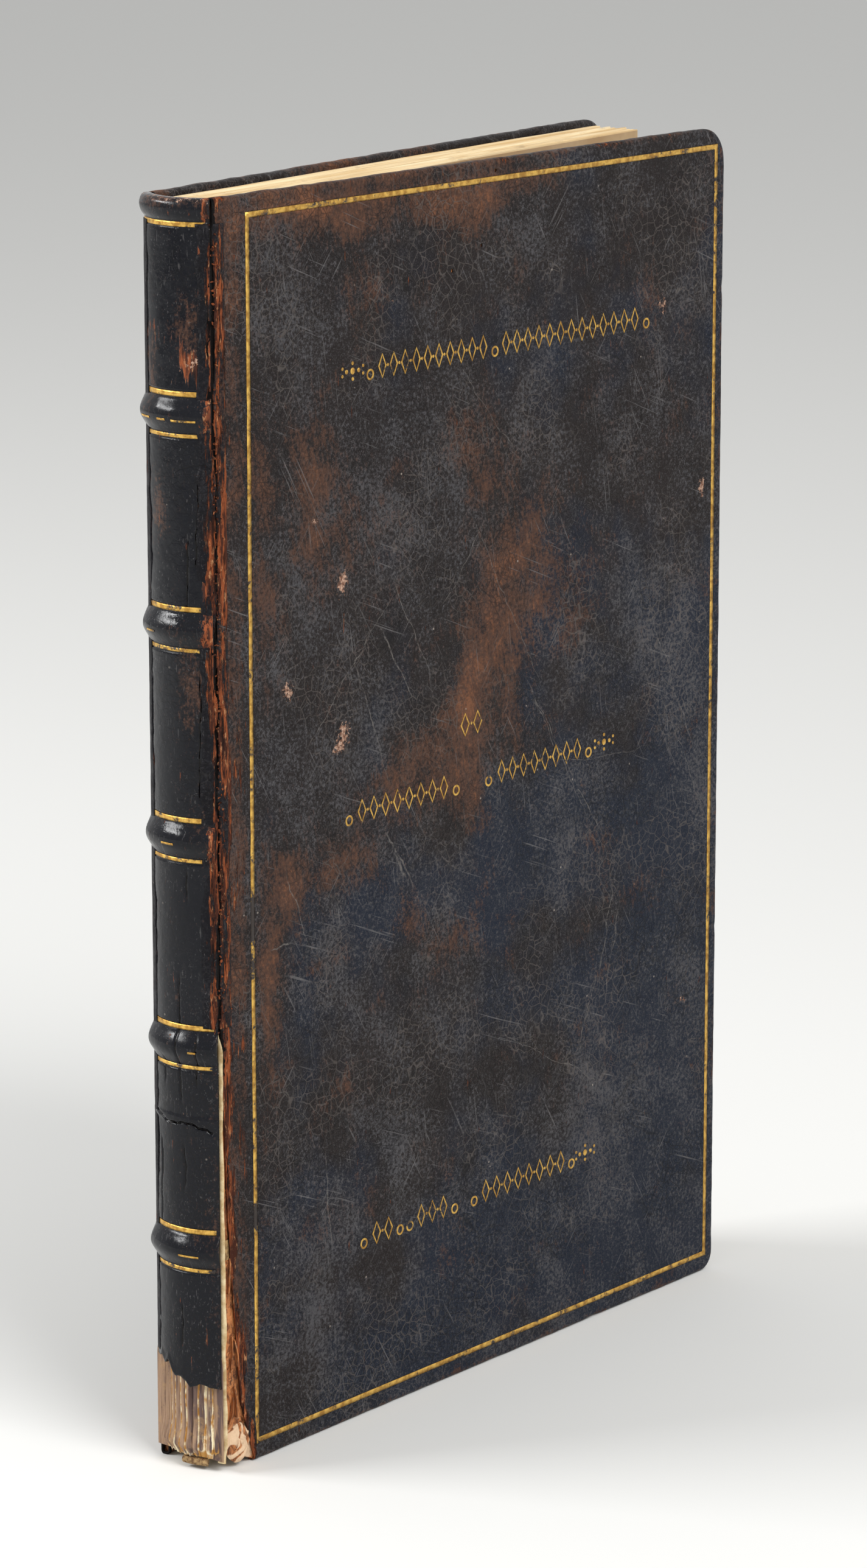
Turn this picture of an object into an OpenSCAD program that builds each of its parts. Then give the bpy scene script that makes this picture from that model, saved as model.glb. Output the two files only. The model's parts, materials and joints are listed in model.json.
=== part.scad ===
// Antique full leather binding: a thin folio sewn on five raised cords,
// standing on its tail with the front cover slightly ajar.
// Millimetres. The book is laid out closed: x runs from the front hinge line to the fore-edge,
// y from the front cover's outer face to the rear cover's, z from tail to head.

/* [Covers] */
// Height of each cover, from tail edge to head edge
cover_h = 310; // [260:1:360]
// Width of each cover, from its hinge line to the fore-edge
cover_w = 203.5; // [160:0.5:240]
// Thickness of the pasteboard
board_t = 2.2; // [1.6:0.1:4]
// Thickness of the covering leather
leather_t = 0.6; // [0.5:0.05:1]
// Thickness of a leaf of endpaper
paper_t = 0.2; // [0.15:0.05:0.3]
// Width of the leather turned in over the board's inner face
turn_in = 14; // [8:1:22]
// Thickness of the pared leather at the turn-in
turn_t = 0.4; // [0.2:0.05:0.6]
// How far the pastedown stays inside the cover's edges
pastedown_margin = 5; // [3:0.5:7]
// Radius of the worn corner at head and fore-edge
head_corner_r = 9; // [3:0.5:14]
// Radius of the corner at tail and fore-edge
tail_corner_r = 5; // [2:0.5:10]
// Rounding of the leather over the board's edges
edge_r = 1; // [0.6:0.05:1.3]
// Angle by which the front cover stands ajar
front_ajar = 5.7; // [0:0.1:15]
// Clearance of each cover from its hinge line
joint_gap = 0.3; // [0.2:0.05:0.6]

/* [Text block] */
// Thickness of the leaves between the flyleaves
leaves_t = 14.5; // [11:0.5:24]
// Distance of the leaves' head below the covers' head
head_square = 1.6; // [1.5:0.1:4]
// Distance of the leaves' tail above the covers' tail
tail_square = 3.2; // [2.8:0.1:5]
// Distance of the leaves' fore-edge inside the front cover's
fore_square = 5.5; // [3:0.5:10]
// Number of sewn gatherings
gatherings = 9; // [6:1:12]
// Hollow of the fore-edge
fore_hollow = 1.2; // [0.6:0.1:2]
// Largest difference in size between two gatherings
gathering_play = 0.5; // [0.1:0.1:0.8]
// Clearance between a closed cover and the flyleaf
cover_gap = 0.3; // [0.2:0.05:0.6]

/* [Spine] */
// Rise of the rounded spine above the line between the hinges
spine_rise = 4.2; // [3:0.1:5]
// How far the spine has rolled towards the fore-edge at the rear hinge
spine_roll = 3; // [0:0.5:4]
// Thickness of the spine leather
spine_t = 1; // [0.8:0.1:1.3]
// Number of raised bands
bands = 5; // [3:1:6]
// Height of the lowest band's middle above the tail
band_first = 56.2; // [48:0.1:64]
// Height of the panel between the highest band's middle and the head
head_panel = 50.6; // [42:0.1:60]
// Width of a band at its foot
band_w = 8.4; // [6:0.1:11]
// Height of a band above the spine
band_rise = 1.8; // [1.2:0.1:2.4]
// Radius of a sewing cord
cord_r = 1.4; // [1:0.1:1.7]
// Radius of the head endband
head_endband_r = 0.55; // [0.45:0.05:0.7]
// Radius of the tail endband
tail_endband_r = 1.1; // [0.8:0.1:1.3]
// Height of the head cap
cap_h = 5.4; // [4:0.2:8]
// How far the head cap stands out from the spine
cap_rise = 1.3; // [0.8:0.1:1.6]
// Height of the torn edge of the spine leather at the front hinge
tear_h = 21.6; // [12:0.2:40]
// Flare of the bare gatherings at the tail
tail_flare = 0.9; // [0.2:0.1:1]
// Height of the crack across the lowest panel of the spine
crack_h = 88; // [74:0.5:92]
// Depth of that crack
crack_depth = 0.55; // [0.3:0.05:0.6]

/* [Gilding] */
// Width of a gilt line
gilt_w = 1.5; // [0.8:0.1:2]
// Distance of the gilt frame from the covers' head and tail
gilt_margin = 5; // [4:0.5:12]
// Distance of the gilt frame from the fore-edge
gilt_fore = 4; // [3.5:0.5:12]
// Distance of the gilt frame from the hinge line
gilt_joint = 12.5; // [11.9:0.1:20]
// Depth to which a line is tooled into the leather
tool_depth = 0.15; // [0.08:0.01:0.2]
// Thickness of the gold in a tooled line
gold_t = 0.1; // [0.05:0.01:0.14]
// Width of one lozenge in the rows of ornament
lozenge_w = 2.7; // [2:0.1:3.4]
// Height of one lozenge in the rows of ornament
lozenge_h = 5.6; // [3:0.1:7]
// Distance from one lozenge to the next
lozenge_pitch = 4.4; // [4:0.1:6]
// Outer radius of a ring between two runs of lozenges
ring_r = 1.4; // [1.1:0.1:1.6]

/* [Lacing] */
// Width of a cord's frayed slip on the board
slip_w = 5; // [3:0.5:7]
// Thickness of a flattened slip
slip_t = 0.7; // [0.4:0.1:0.9]
// Distance of the lacing hole from the board's joint edge
slip_l = 15; // [10:1:20]
// Radius of the lacing hole
lacing_r = 1.3; // [0.8:0.1:1.8]

/* [Joint strip] */
// Thickness of the vellum strip along the front board's joint edge
strip_t = 0.6; // [0.3:0.1:0.9]
// Height up to which the joint leather is worn away over the strip
joint_worn_h = 111; // [70:1:150]

/* [Hidden] */
$fn = 96;
FAR = 400;
FIT = 0.03; // clearance of curved faces that lie on each other
EPS = 0.01;
band_inset = 0.15; // how far the bands' ends stay inside the planes of the covers' outer faces

// Heights through a cover and through the closed book
cover_t = leather_t + board_t + paper_t;
leaves_y = cover_t + cover_gap + paper_t;
book_t = 2 * leaves_y + leaves_t;
block_top = cover_h - head_square;
leaf_w = cover_w - fore_square;

// The spine's arc stands on the line from the front hinge to the rear hinge
chord = sqrt(book_t * book_t + spine_roll * spine_roll);
half_chord = chord / 2;
function arc_r(rise) = (half_chord * half_chord + rise * rise) / (2 * rise);
spine_r = arc_r(spine_rise);
back_r = spine_r - spine_t;
roll_angle = atan2(spine_roll, book_t);

// The sewing cords follow a rounder arc through the same hinges, so they run out at the joints
band_arc_rise = spine_rise + band_rise + 0.2;
cord_ring_r = arc_r(band_arc_rise) - 0.2 - spine_t - cord_r;
arc_reach = 60;
gather_t = leaves_t / gatherings;
band_step = (cover_h - head_panel - band_first) / (bands - 1);
band_z = [for (i = [0 : bands - 1]) band_first + i * band_step];
band_steps = 10;

// Lower edge of every gilt line on the spine
rule_z = concat(
    [cover_h - cap_h - gilt_w],
    [for (z = band_z) z - band_w / 2 - gilt_w],
    [for (z = band_z) z + band_w / 2]
);

// Rows of ornament on the front cover, as shares of its height and width.
// In each: height of the row, ends of its runs of lozenges, its rings, its sprigs of dots.
rows = [
    [0.8516, [[0.294, 0.51], [0.532, 0.819]], [0.2825, 0.522, 0.8325], [0.25]],
    [0.5484, [[0.451, 0.501]], [], []],
    [0.5016, [[0.2525, 0.433], [0.525, 0.703]], [0.24, 0.4465, 0.5105, 0.716], [0.749]],
    [0.15, [[0.277, 0.3235], [0.365, 0.431], [0.495, 0.673]], [0.2645, 0.344, 0.4445, 0.4815, 0.685], [0.7145]]
];
sprig_dots = [
    [0, 0], [2.2, 0], [-2.2, 0], [0, 1.9], [0, -1.9],
    [3.5, 1.3], [3.5, -1.3], [-3.5, 1.3], [-3.5, -1.3]
];

// Extent of the whole book with its front cover ajar
fore_x = spine_roll + cover_w;
spine_x = spine_roll / 2 + (spine_r - spine_rise) * cos(roll_angle) - spine_r - band_rise;
front_y = edge_r * cos(front_ajar) - (cover_w - edge_r) * sin(front_ajar) - edge_r;
centre_x = (fore_x + spine_x) / 2;
centre_y = (book_t + front_y) / 2;

leather_dark = [0.09, 0.08, 0.09];
leather_brown = [0.2, 0.1, 0.07];
pasteboard = [0.55, 0.35, 0.2];
paper = [0.9, 0.82, 0.66];
gold = [0.72, 0.56, 0.22];

// Placement of the pieces

module in_place() {
    translate([-centre_x, -centre_y, 0])
        children();
}

module as_front_cover() {
    in_place()
        rotate([0, 0, -front_ajar])
            children();
}

module as_rear_cover() {
    in_place()
        translate([spine_roll, book_t, 0])
            mirror([0, 1, 0])
                children();
}

// Frame with its z axis through the centre of an arc of the given rise and x towards the spine's crest
module at_arc(rise) {
    translate([spine_roll / 2, book_t / 2, 0])
        rotate([0, 0, 180 - roll_angle])
            translate([rise - arc_r(rise), 0, 0])
                children();
}

// The space outside the line between the hinges, kept the given distance from it
module spine_side(distance) {
    at_arc(spine_rise)
        translate([spine_r - spine_rise + distance, -FAR / 2, -1])
            cube([FAR, FAR, cover_h + 2]);
}

// The space between the planes of the covers' outer faces, where the bands end flush with the covers
module between_covers() {
    translate([-FAR / 2, band_inset, -1])
        cube([FAR, book_t - 2 * band_inset, cover_h + 2]);
}

// The spine's part of a turned form
module turned() {
    rotate([0, 0, -arc_reach])
        rotate_extrude(angle = 2 * arc_reach)
            children();
}

// Covers, drawn as the front one: x from the hinge line, y from the outer face inwards

module rounded_outline(x0, inset) {
    x1 = cover_w - inset;
    z0 = inset;
    z1 = cover_h - inset;
    rh = head_corner_r - inset;
    rt = tail_corner_r - inset;
    difference() {
        translate([x0, z0])
            square([x1 - x0, z1 - z0]);
        translate([x1 - rh, z1 - rh])
            difference() {
                square(rh + 1);
                circle(r = rh);
            }
        translate([x1 - rt, z0 + rt])
            difference() {
                translate([0, -rt - 1])
                    square(rt + 1);
                circle(r = rt);
            }
    }
}

module upright(y0, y1) {
    translate([0, y1, 0])
        rotate([90, 0, 0])
            linear_extrude(y1 - y0)
                children();
}

module rounded_bar(w, h, r) {
    difference() {
        square([w, h]);
        for (x = [0, 1], y = [0, 1])
            translate([x * w, y * h])
                mirror([x, 0])
                    mirror([0, y])
                        difference() {
                            translate([-1, -1])
                                square(r + 1);
                            translate([r, r])
                                circle(r = r);
                        }
    }
}

module cover_form() {
    depth = leather_t + board_t;
    intersection() {
        upright(0, depth)
            rounded_outline(joint_gap, 0);
        translate([-1, 0, 0])
            rotate([90, 0, 90])
                linear_extrude(cover_w + 2)
                    rounded_bar(depth, cover_h, edge_r);
        translate([0, 0, -1])
            linear_extrude(cover_h + 2)
                translate([-cover_w, 0])
                    rounded_bar(2 * cover_w, depth, edge_r);
    }
}

module board_form(edge_x) {
    inner_y = leather_t + board_t;
    margin = turn_in - leather_t;
    difference() {
        upright(leather_t, inner_y)
            rounded_outline(edge_x, leather_t);
        upright(inner_y - turn_t, inner_y + 1)
            difference() {
                rounded_outline(-1, -1);
                translate([-2, turn_in])
                    square([cover_w - turn_in + 2, cover_h - 2 * turn_in]);
            }
    }
}

module lacing() {
    for (z = band_z)
        translate([0, 0, z]) {
            translate([joint_gap, leather_t, -slip_w / 2])
                cube([slip_l, slip_t, slip_w]);
            translate([joint_gap + slip_l, leather_t, 0])
                rotate([-90, 0, 0])
                    cylinder(h = board_t, r = lacing_r);
        }
}

// Outline of the joint leather that is torn off the front cover, in the plane of the cover
module lost_leather() {
    wide = 35;
    narrow = joint_worn_h - wide;
    polygon([
        [-1, -1], [11.2, -1], [11.4, 2], [10.6, 5], [10.9, 8], [9.2, 11], [7.4, 14.5], [6.2, 18],
        [7.1, 22], [7.3, 27], [6.4, 31], [4.9, wide], [3.4, wide + 0.04 * narrow],
        [2.6, wide + 0.11 * narrow], [2.9, wide + 0.2 * narrow], [1.9, wide + 0.28 * narrow],
        [1.7, wide + 0.43 * narrow], [1.2, wide + 0.59 * narrow], [1.5, wide + 0.75 * narrow],
        [1.1, wide + 0.92 * narrow], [0.7, joint_worn_h], [-1, joint_worn_h]
    ]);
}

module gilt_frame_lines(y0, y1, gap) {
    x0 = gilt_joint - gilt_w / 2;
    x1 = cover_w - gilt_fore + gilt_w / 2;
    z0 = gilt_margin - gilt_w / 2;
    z1 = cover_h - gilt_margin + gilt_w / 2;
    upright(y0, y1)
        difference() {
            translate([x0 + gap, z0 + gap])
                square([x1 - x0 - 2 * gap, z1 - z0 - 2 * gap]);
            translate([x0 + gilt_w - gap, z0 + gilt_w - gap])
                square([x1 - x0 - 2 * gilt_w + 2 * gap, z1 - z0 - 2 * gilt_w + 2 * gap]);
        }
}

// Lozenges with a dot between each two
module lozenge_run(x0, x1) {
    count = max(2, round((x1 - x0) / lozenge_pitch));
    pitch = (x1 - x0) / count;
    for (i = [0 : count - 1])
        translate([x0 + (i + 0.5) * pitch, 0])
            polygon([[-lozenge_w / 2, 0], [0, -lozenge_h / 2], [lozenge_w / 2, 0], [0, lozenge_h / 2]]);
    for (i = [1 : count - 1])
        translate([x0 + i * pitch, 0])
            circle(r = 0.4, $fn = 24);
}

module ring() {
    difference() {
        circle(r = ring_r, $fn = 24);
        circle(r = ring_r - 0.55, $fn = 24);
    }
}

module sprig() {
    for (dot = sprig_dots)
        translate(dot)
            circle(r = 0.6, $fn = 24);
}

module ornaments(y0, y1) {
    upright(y0, y1)
        for (row = rows)
            translate([0, row[0] * cover_h]) {
                for (run = row[1])
                    lozenge_run(run[0] * cover_w, run[1] * cover_w);
                for (x = row[2])
                    translate([x * cover_w, -1.6])
                        ring();
                for (x = row[3])
                    translate([x * cover_w, 0])
                        sprig();
            }
}

module cover_leather() {
    difference() {
        cover_form();
        upright(leather_t, leather_t + board_t + 1)
            translate([-1, turn_in])
                square([cover_w - turn_in + 1, cover_h - 2 * turn_in]);
        board_form(-1);
        gilt_frame_lines(-1, tool_depth, 0);
    }
}

// Text block

module gathering_boxes() {
    for (i = [0 : gatherings - 1]) {
        play = gathering_play * (0.5 + 0.5 * sin(i * 137));
        translate([-4, leaves_y + i * gather_t, tail_square])
            cube([leaf_w + 4 - play, gather_t, block_top - tail_square - play * 0.6]);
    }
}

module backed_spine() {
    at_arc(spine_rise)
        turned()
            polygon([
                [0, tail_square - 0.2], [back_r + tail_flare * 0.6, tail_square - 0.2],
                [back_r + tail_flare, tail_square + 2], [back_r + tail_flare * 0.6, tail_square + 5],
                [back_r - FIT, tail_square + 9], [back_r - FIT, block_top - 0.15], [0, block_top - 0.15]
            ]);
}

module fold_grooves() {
    spread = 2 * asin((half_chord - 3) / spine_r);
    at_arc(spine_rise)
        for (i = [1 : gatherings - 1])
            rotate([0, 0, (i / gatherings - 0.5) * spread])
                translate([0, 0, tail_square - 1])
                    linear_extrude(block_top)
                        polygon([[back_r - 0.9, 0], [back_r + 2, -0.9], [back_r + 2, 0.9]]);
}

module cord_ring(z) {
    at_arc(band_arc_rise)
        turned()
            translate([cord_ring_r, z])
                circle(r = cord_r, $fn = 32);
}

// Square channel in which a cord lies
module cord_channel(z) {
    side = 2 * (cord_r + FIT);
    at_arc(band_arc_rise)
        turned()
            translate([cord_ring_r - side / 2, z - side / 2])
                square(side);
}

module text_block() {
    hollow_r = (leaves_t * leaves_t / 4 + fore_hollow * fore_hollow) / (2 * fore_hollow);
    color(paper)
        in_place()
            difference() {
                union() {
                    intersection() {
                        backed_spine();
                        spine_side(joint_gap);
                    }
                    difference() {
                        gathering_boxes();
                        spine_side(0.8);
                    }
                }
                fold_grooves();
                for (z = band_z)
                    cord_channel(z);
                translate([leaf_w + hollow_r - fore_hollow, book_t / 2, -1])
                    cylinder(h = cover_h + 2, r = hollow_r);
            }
}

module flyleaf(y0) {
    translate([joint_gap + spine_roll, y0, tail_square + 0.4])
        cube([leaf_w - spine_roll - 1, paper_t, block_top - tail_square - 0.8]);
}

module front_flyleaf() {
    color(paper)
        in_place()
            flyleaf(leaves_y - paper_t);
}

module rear_flyleaf() {
    color(paper)
        in_place()
            flyleaf(leaves_y + leaves_t);
}

// Spine

module sewing_cord(i) {
    color([0.62, 0.5, 0.33])
        in_place()
            intersection() {
                cord_ring(band_z[i]);
                spine_side(joint_gap);
            }
}

module endband(z, r, from, to) {
    at_arc(spine_rise)
        rotate([0, 0, from])
            rotate_extrude(angle = to - from)
                translate([back_r - r - 0.2, z])
                    circle(r = r, $fn = 24);
}

module head_endband() {
    color([0.6, 0.45, 0.3])
        in_place()
            endband(block_top + head_endband_r, head_endband_r, -34, 34);
}

module tail_endband() {
    color([0.35, 0.25, 0.15])
        in_place()
            endband(tail_square - 0.2 - tail_endband_r, tail_endband_r, -2, 25);
}

// Outline of one band with the gilt line's groove on each side of it
function band_outline(z) = concat(
    groove_outline(z - band_w / 2 - gilt_w),
    [for (k = [1 : band_steps - 1])
        [spine_r + band_rise * pow(sin(180 * k / band_steps), 1.5), z + band_w * (k / band_steps - 0.5)]],
    groove_outline(z + band_w / 2)
);

function groove_outline(z) = [
    [spine_r, z], [spine_r - tool_depth, z],
    [spine_r - tool_depth, z + gilt_w], [spine_r, z + gilt_w]
];

// The whole spine's leather in one turned outline: panels, bands, grooves and the head cap
module spine_form() {
    cap_z = cover_h - cap_h;
    lip_z = block_top + 2 * head_endband_r + FIT;
    lip_r = back_r - 2 * head_endband_r - 0.6;
    at_arc(spine_rise)
        turned()
            polygon(concat(
                [[back_r, 0], [spine_r, 0]],
                [for (z = band_z) each band_outline(z)],
                groove_outline(cap_z - gilt_w),
                [
                    [spine_r + cap_rise * 0.45, cap_z + 0.9], [spine_r + cap_rise * 0.85, cap_z + 1.9],
                    [spine_r + cap_rise, cap_z + 3], [spine_r + cap_rise * 0.9, cap_z + 4.2],
                    [spine_r + cap_rise * 0.55, cover_h - 0.5], [spine_r, cover_h - 0.1],
                    [spine_r - 1, cover_h], [lip_r, cover_h], [lip_r, lip_z], [back_r, lip_z]
                ]
            ));
}

module torn_tail() {
    rotate([90, 0, -90])
        linear_extrude(FAR, center = true)
            polygon([
                [1, -1], [1, tear_h - 0.4], [-2.4, tear_h], [-4.8, tear_h + 1.1], [-6.6, tear_h + 0.5],
                [-9.2, tear_h + 1.2], [-11, tear_h + 2.2], [-13.2, tear_h + 2.6], [-15, tear_h + 5.6],
                [-16.4, tear_h + 4.4], [-18, tear_h + 6], [-book_t - 1, tear_h + 5], [-book_t - 1, -1]
            ]);
}

// Jagged crack across the spine leather, shallower than the leather is thick
module spine_crack() {
    half_w = 0.3;
    line = [[0.4, 0], [2.6, 0.6], [5.2, -0.4], [7.8, 0.7], [10.4, -0.1], [13, 0.6], [15.4, -0.5], [17.6, 0.2]];
    last = len(line) - 1;
    intersection() {
        at_arc(spine_rise)
            turned()
                translate([spine_r - crack_depth, crack_h - 3])
                    square([4, 6]);
        rotate([90, 0, -90])
            linear_extrude(FAR, center = true)
                polygon(concat(
                    [for (p = line) [-p[0], crack_h + p[1] - half_w]],
                    [for (i = [0 : last]) [-line[last - i][0], crack_h + line[last - i][1] + half_w]]
                ));
    }
}

module rule_ring(z) {
    at_arc(spine_rise)
        turned()
            translate([spine_r - tool_depth + EPS, z + EPS])
                square([gold_t, gilt_w - 2 * EPS]);
}

module spine_leather() {
    color(leather_dark)
        in_place()
            difference() {
                intersection() {
                    spine_form();
                    between_covers();
                    spine_side(joint_gap);
                }
                for (z = band_z)
                    cord_channel(z);
                torn_tail();
                spine_crack();
            }
}

module spine_gilt_rules() {
    color(gold)
        in_place()
            intersection() {
                for (z = rule_z)
                    rule_ring(z);
                spine_side(joint_gap + 0.1);
            }
}

// Front cover

// Layers of the board that have come loose and curled outwards at its crushed corner
module curled_layers() {
    upright(0.25, leather_t + 0.3)
        polygon([
            [1.6, 6.4], [2, 9.6], [3.6, 11.6], [6.4, 11], [8.6, 8.2],
            [9, 4.6], [7.8, 3], [5.4, 3.2], [3.4, 4.6]
        ]);
    upright(-0.1, 0.4)
        polygon([[3, 6.2], [3.4, 8.8], [5, 9.8], [7, 8.2], [7.6, 5.4], [6.4, 4], [4.4, 4.6]]);
}

module front_board() {
    color(pasteboard)
        as_front_cover() {
            difference() {
                board_form(joint_gap + strip_t);
                lacing();
                upright(-1, cover_t + 1)
                    polygon([
                        [-1, -1], [-1, 5.5], [2.2, 5.5], [3.4, 3.4], [5.6, 2.2],
                        [8, 2.4], [9.6, 1.2], [11.4, -1]
                    ]);
            }
            curled_layers();
        }
}

module front_cover_leather() {
    color(leather_dark)
        as_front_cover()
            difference() {
                cover_leather();
                upright(-1, cover_t + 1)
                    lost_leather();
                ornaments(-1, tool_depth);
            }
}

module pastedown() {
    x0 = joint_gap + strip_t;
    upright(leather_t + board_t, cover_t)
        translate([x0, pastedown_margin])
            square([cover_w - pastedown_margin - x0, cover_h - 2 * pastedown_margin]);
}

module front_pastedown() {
    color(paper)
        as_front_cover()
            pastedown();
}

module front_cord_slips() {
    color([0.62, 0.5, 0.33])
        as_front_cover()
            difference() {
                lacing();
                translate([-1, -1, -1])
                    cube([joint_gap + strip_t + 1, FAR, FAR]);
            }
}

module front_joint_strip() {
    color([0.87, 0.8, 0.66])
        as_front_cover()
            translate([joint_gap, leather_t, 2])
                cube([strip_t, board_t - turn_t, cover_h - 4]);
}

module front_gilt_frame() {
    color(gold)
        as_front_cover()
            gilt_frame_lines(tool_depth - gold_t, tool_depth, EPS);
}

module front_gilt_ornaments() {
    color(gold)
        as_front_cover()
            ornaments(tool_depth - gold_t, tool_depth);
}

// Rear cover

module rear_board() {
    color(pasteboard)
        as_rear_cover()
            difference() {
                board_form(joint_gap);
                lacing();
            }
}

module rear_cover_leather() {
    color(leather_dark)
        as_rear_cover()
            cover_leather();
}

module rear_pastedown() {
    color(paper)
        as_rear_cover()
            pastedown();
}

module rear_cord_slips() {
    color([0.62, 0.5, 0.33])
        as_rear_cover()
            lacing();
}

module rear_gilt_frame() {
    color(gold)
        as_rear_cover()
            gilt_frame_lines(tool_depth - gold_t, tool_depth, EPS);
}

text_block();
front_flyleaf();
rear_flyleaf();
sewing_cord(0);  // sewing_cord_1
sewing_cord(1);  // sewing_cord_2
sewing_cord(2);  // sewing_cord_3
sewing_cord(3);  // sewing_cord_4
sewing_cord(4);  // sewing_cord_5
head_endband();
tail_endband();
spine_leather();
spine_gilt_rules();
front_board();
front_cover_leather();
front_pastedown();
front_cord_slips();
front_joint_strip();
front_gilt_frame();
front_gilt_ornaments();
rear_board();
rear_cover_leather();
rear_pastedown();
rear_cord_slips();
rear_gilt_frame();
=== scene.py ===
"""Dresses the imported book: worn leather, sewn leaves, rubbed gilding, and the studio round it.

All sizes here are millimetres. A cover is drawn in its own frame: x from its hinge line to the
fore-edge, y from the outer face inwards, z from tail to head. The block is drawn with the book
closed. Both are then placed in the row frame, where every piece keeps its object at the origin.
"""

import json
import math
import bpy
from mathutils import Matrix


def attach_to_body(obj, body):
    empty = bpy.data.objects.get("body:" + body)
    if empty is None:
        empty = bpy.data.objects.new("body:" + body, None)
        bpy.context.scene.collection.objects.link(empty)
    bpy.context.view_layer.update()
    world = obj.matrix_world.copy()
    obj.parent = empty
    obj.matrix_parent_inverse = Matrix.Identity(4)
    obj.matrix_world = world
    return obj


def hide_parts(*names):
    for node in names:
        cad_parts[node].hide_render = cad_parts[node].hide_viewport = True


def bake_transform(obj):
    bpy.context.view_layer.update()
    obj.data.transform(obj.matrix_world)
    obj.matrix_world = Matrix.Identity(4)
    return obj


bl_info = {
    "name": "Worn leather folio",
    "version": (1, 0, 0),
    "blender": (4, 5, 0),
    "location": "View3D > Sidebar > Folio",
    "description": "Dresses the packed book with worn leather, sewn leaves and rubbed gilding",
    "category": "Object",
}

from functools import reduce

import bpy
import numpy as np
from bpy.props import FloatProperty, FloatVectorProperty, IntProperty, PointerProperty
from mathutils import Matrix, Vector
from mathutils.geometry import delaunay_2d_cdt

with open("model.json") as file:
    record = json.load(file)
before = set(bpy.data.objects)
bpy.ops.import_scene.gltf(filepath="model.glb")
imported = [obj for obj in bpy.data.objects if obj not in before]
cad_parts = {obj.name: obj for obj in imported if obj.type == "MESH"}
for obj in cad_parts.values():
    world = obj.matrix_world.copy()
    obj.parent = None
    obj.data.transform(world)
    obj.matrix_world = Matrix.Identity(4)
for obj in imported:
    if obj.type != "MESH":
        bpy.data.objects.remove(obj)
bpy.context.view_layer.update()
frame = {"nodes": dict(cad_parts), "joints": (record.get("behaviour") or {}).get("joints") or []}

MM = 0.001
hinges = {j["name"]: np.array(j["pos_m"]) / MM for j in frame["joints"]}
FRONT_HINGE = hinges["front_cover_hinge"] * (1, 1, 0)
REAR_HINGE = hinges["rear_cover_hinge"] * (1, 1, 0)

# Covers. COVER_FORM is the leather's depth, from its outer face to the inner face of its turn-ins
AJAR = math.radians(5.7)
COVER_W = 203.5
COVER_H = 310.0
COVER_FORM = 2.8
EDGE_R = 1.0
HEAD_CORNER = 9.0
TAIL_CORNER = 5.0
TURN_IN = 14.0
JOINT_GAP = 0.3
SKIN = 0.5

# Boards: how far their edges and their outer face lie inside the leather's
BOARD_IN = 0.7
BOARD_Y = 0.6

# Spine: an arc over the chord between the covers' edges, leaning by ROLL towards the rear
BOOK_T = 21.5
ROLL = 3.0
RISE = 4.2
BAND_RISE = 1.8
BAND_W = 8.4
BAND_PITCH = 50.8
BAND_Z = [56.2 + BAND_PITCH * i for i in range(5)]
BAND_INSET = 0.15
RULE_W = 1.5
CAP_Z = 304.6
CHORD = math.hypot(BOOK_T, ROLL)
SPINE_R = (CHORD * CHORD / 4 + RISE * RISE) / (2 * RISE)
BACK_R = SPINE_R - 1.0
CHORD_X = SPINE_R - RISE
APEX = math.pi - math.atan2(ROLL, BOOK_T)
ARC_CENTRE = np.array([ROLL / 2, BOOK_T / 2]) - CHORD_X * np.array([math.cos(APEX), math.sin(APEX)])
ARC_END = math.acos((CHORD_X + JOINT_GAP) / SPINE_R)
# Below this height the spine leather's rows are spread, so that they end at the torn edge
SPREAD_Z = 46

# Leaves
LEAVES_Y = 3.5
LEAVES_T = 14.5
LEAF_W = 198.0
HEAD_Z = 308.4
TAIL_Z = 3.2
GATHERINGS = 9

# Gilding: the box is that of the gilt line's middle, as low x, low z, high x, high z
GILT_BOX = (12.5, 5.0, 199.5, 305.0)
GROOVE = 0.15
# Half widths of the line's groove, at its floor and at its lips
FLOOR_HALF = 0.72
LIPS_HALF = 0.86


# Small mathematics


def smooth(x, low, high):
    """From 0 at low to 1 at high, flat beyond both. High may be the smaller one."""
    t = np.clip((np.asarray(x, float) - low) / (high - low), 0, 1)
    return t * t * (3 - 2 * t)


def lattice(u, v, seed):
    """Smooth random values between -1 and 1 on the plane (u, v)."""
    iu, iv = np.floor(u), np.floor(v)
    fu, fv = u - iu, v - iv
    fu, fv = fu * fu * (3 - 2 * fu), fv * fv * (3 - 2 * fv)

    def corner(a, b):
        h = np.sin(a * 127.1 + b * 311.7 + seed * 74.7) * 43758.5453
        return 2 * (h - np.floor(h)) - 1

    low = corner(iu, iv) * (1 - fu) + corner(iu + 1, iv) * fu
    high = corner(iu, iv + 1) * (1 - fu) + corner(iu + 1, iv + 1) * fu
    return low * (1 - fv) + high * fv


def grain(u, v, seed, octaves=3):
    """Random relief between -1 and 1 over the plane (u, v), the same on every run."""
    u, v = np.broadcast_arrays(np.asarray(u, float), np.asarray(v, float))
    total, weight = np.zeros(u.shape), 0.0
    for k in range(octaves):
        total += lattice(u * 2**k, v * 2**k, seed + 17 * k) / 2**k
        weight += 1 / 2**k
    return total / weight


def blobs(x, z, spots):
    """Sum of soft spots, each (x, z, radius along x, radius along z, strength)."""
    total = np.zeros(np.shape(x))
    for cx, cz, rx, rz, strength in spots:
        total += strength * np.exp(-(((x - cx) / rx) ** 2) - ((z - cz) / rz) ** 2)
    return total


# Placement in the row frame


def turn_z(points, angle):
    """Points turned about the Z axis."""
    c, s = math.cos(angle), math.sin(angle)
    p = np.asarray(points, float)
    return np.stack([p[:, 0] * c - p[:, 1] * s, p[:, 0] * s + p[:, 1] * c, p[:, 2]], 1)


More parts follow.
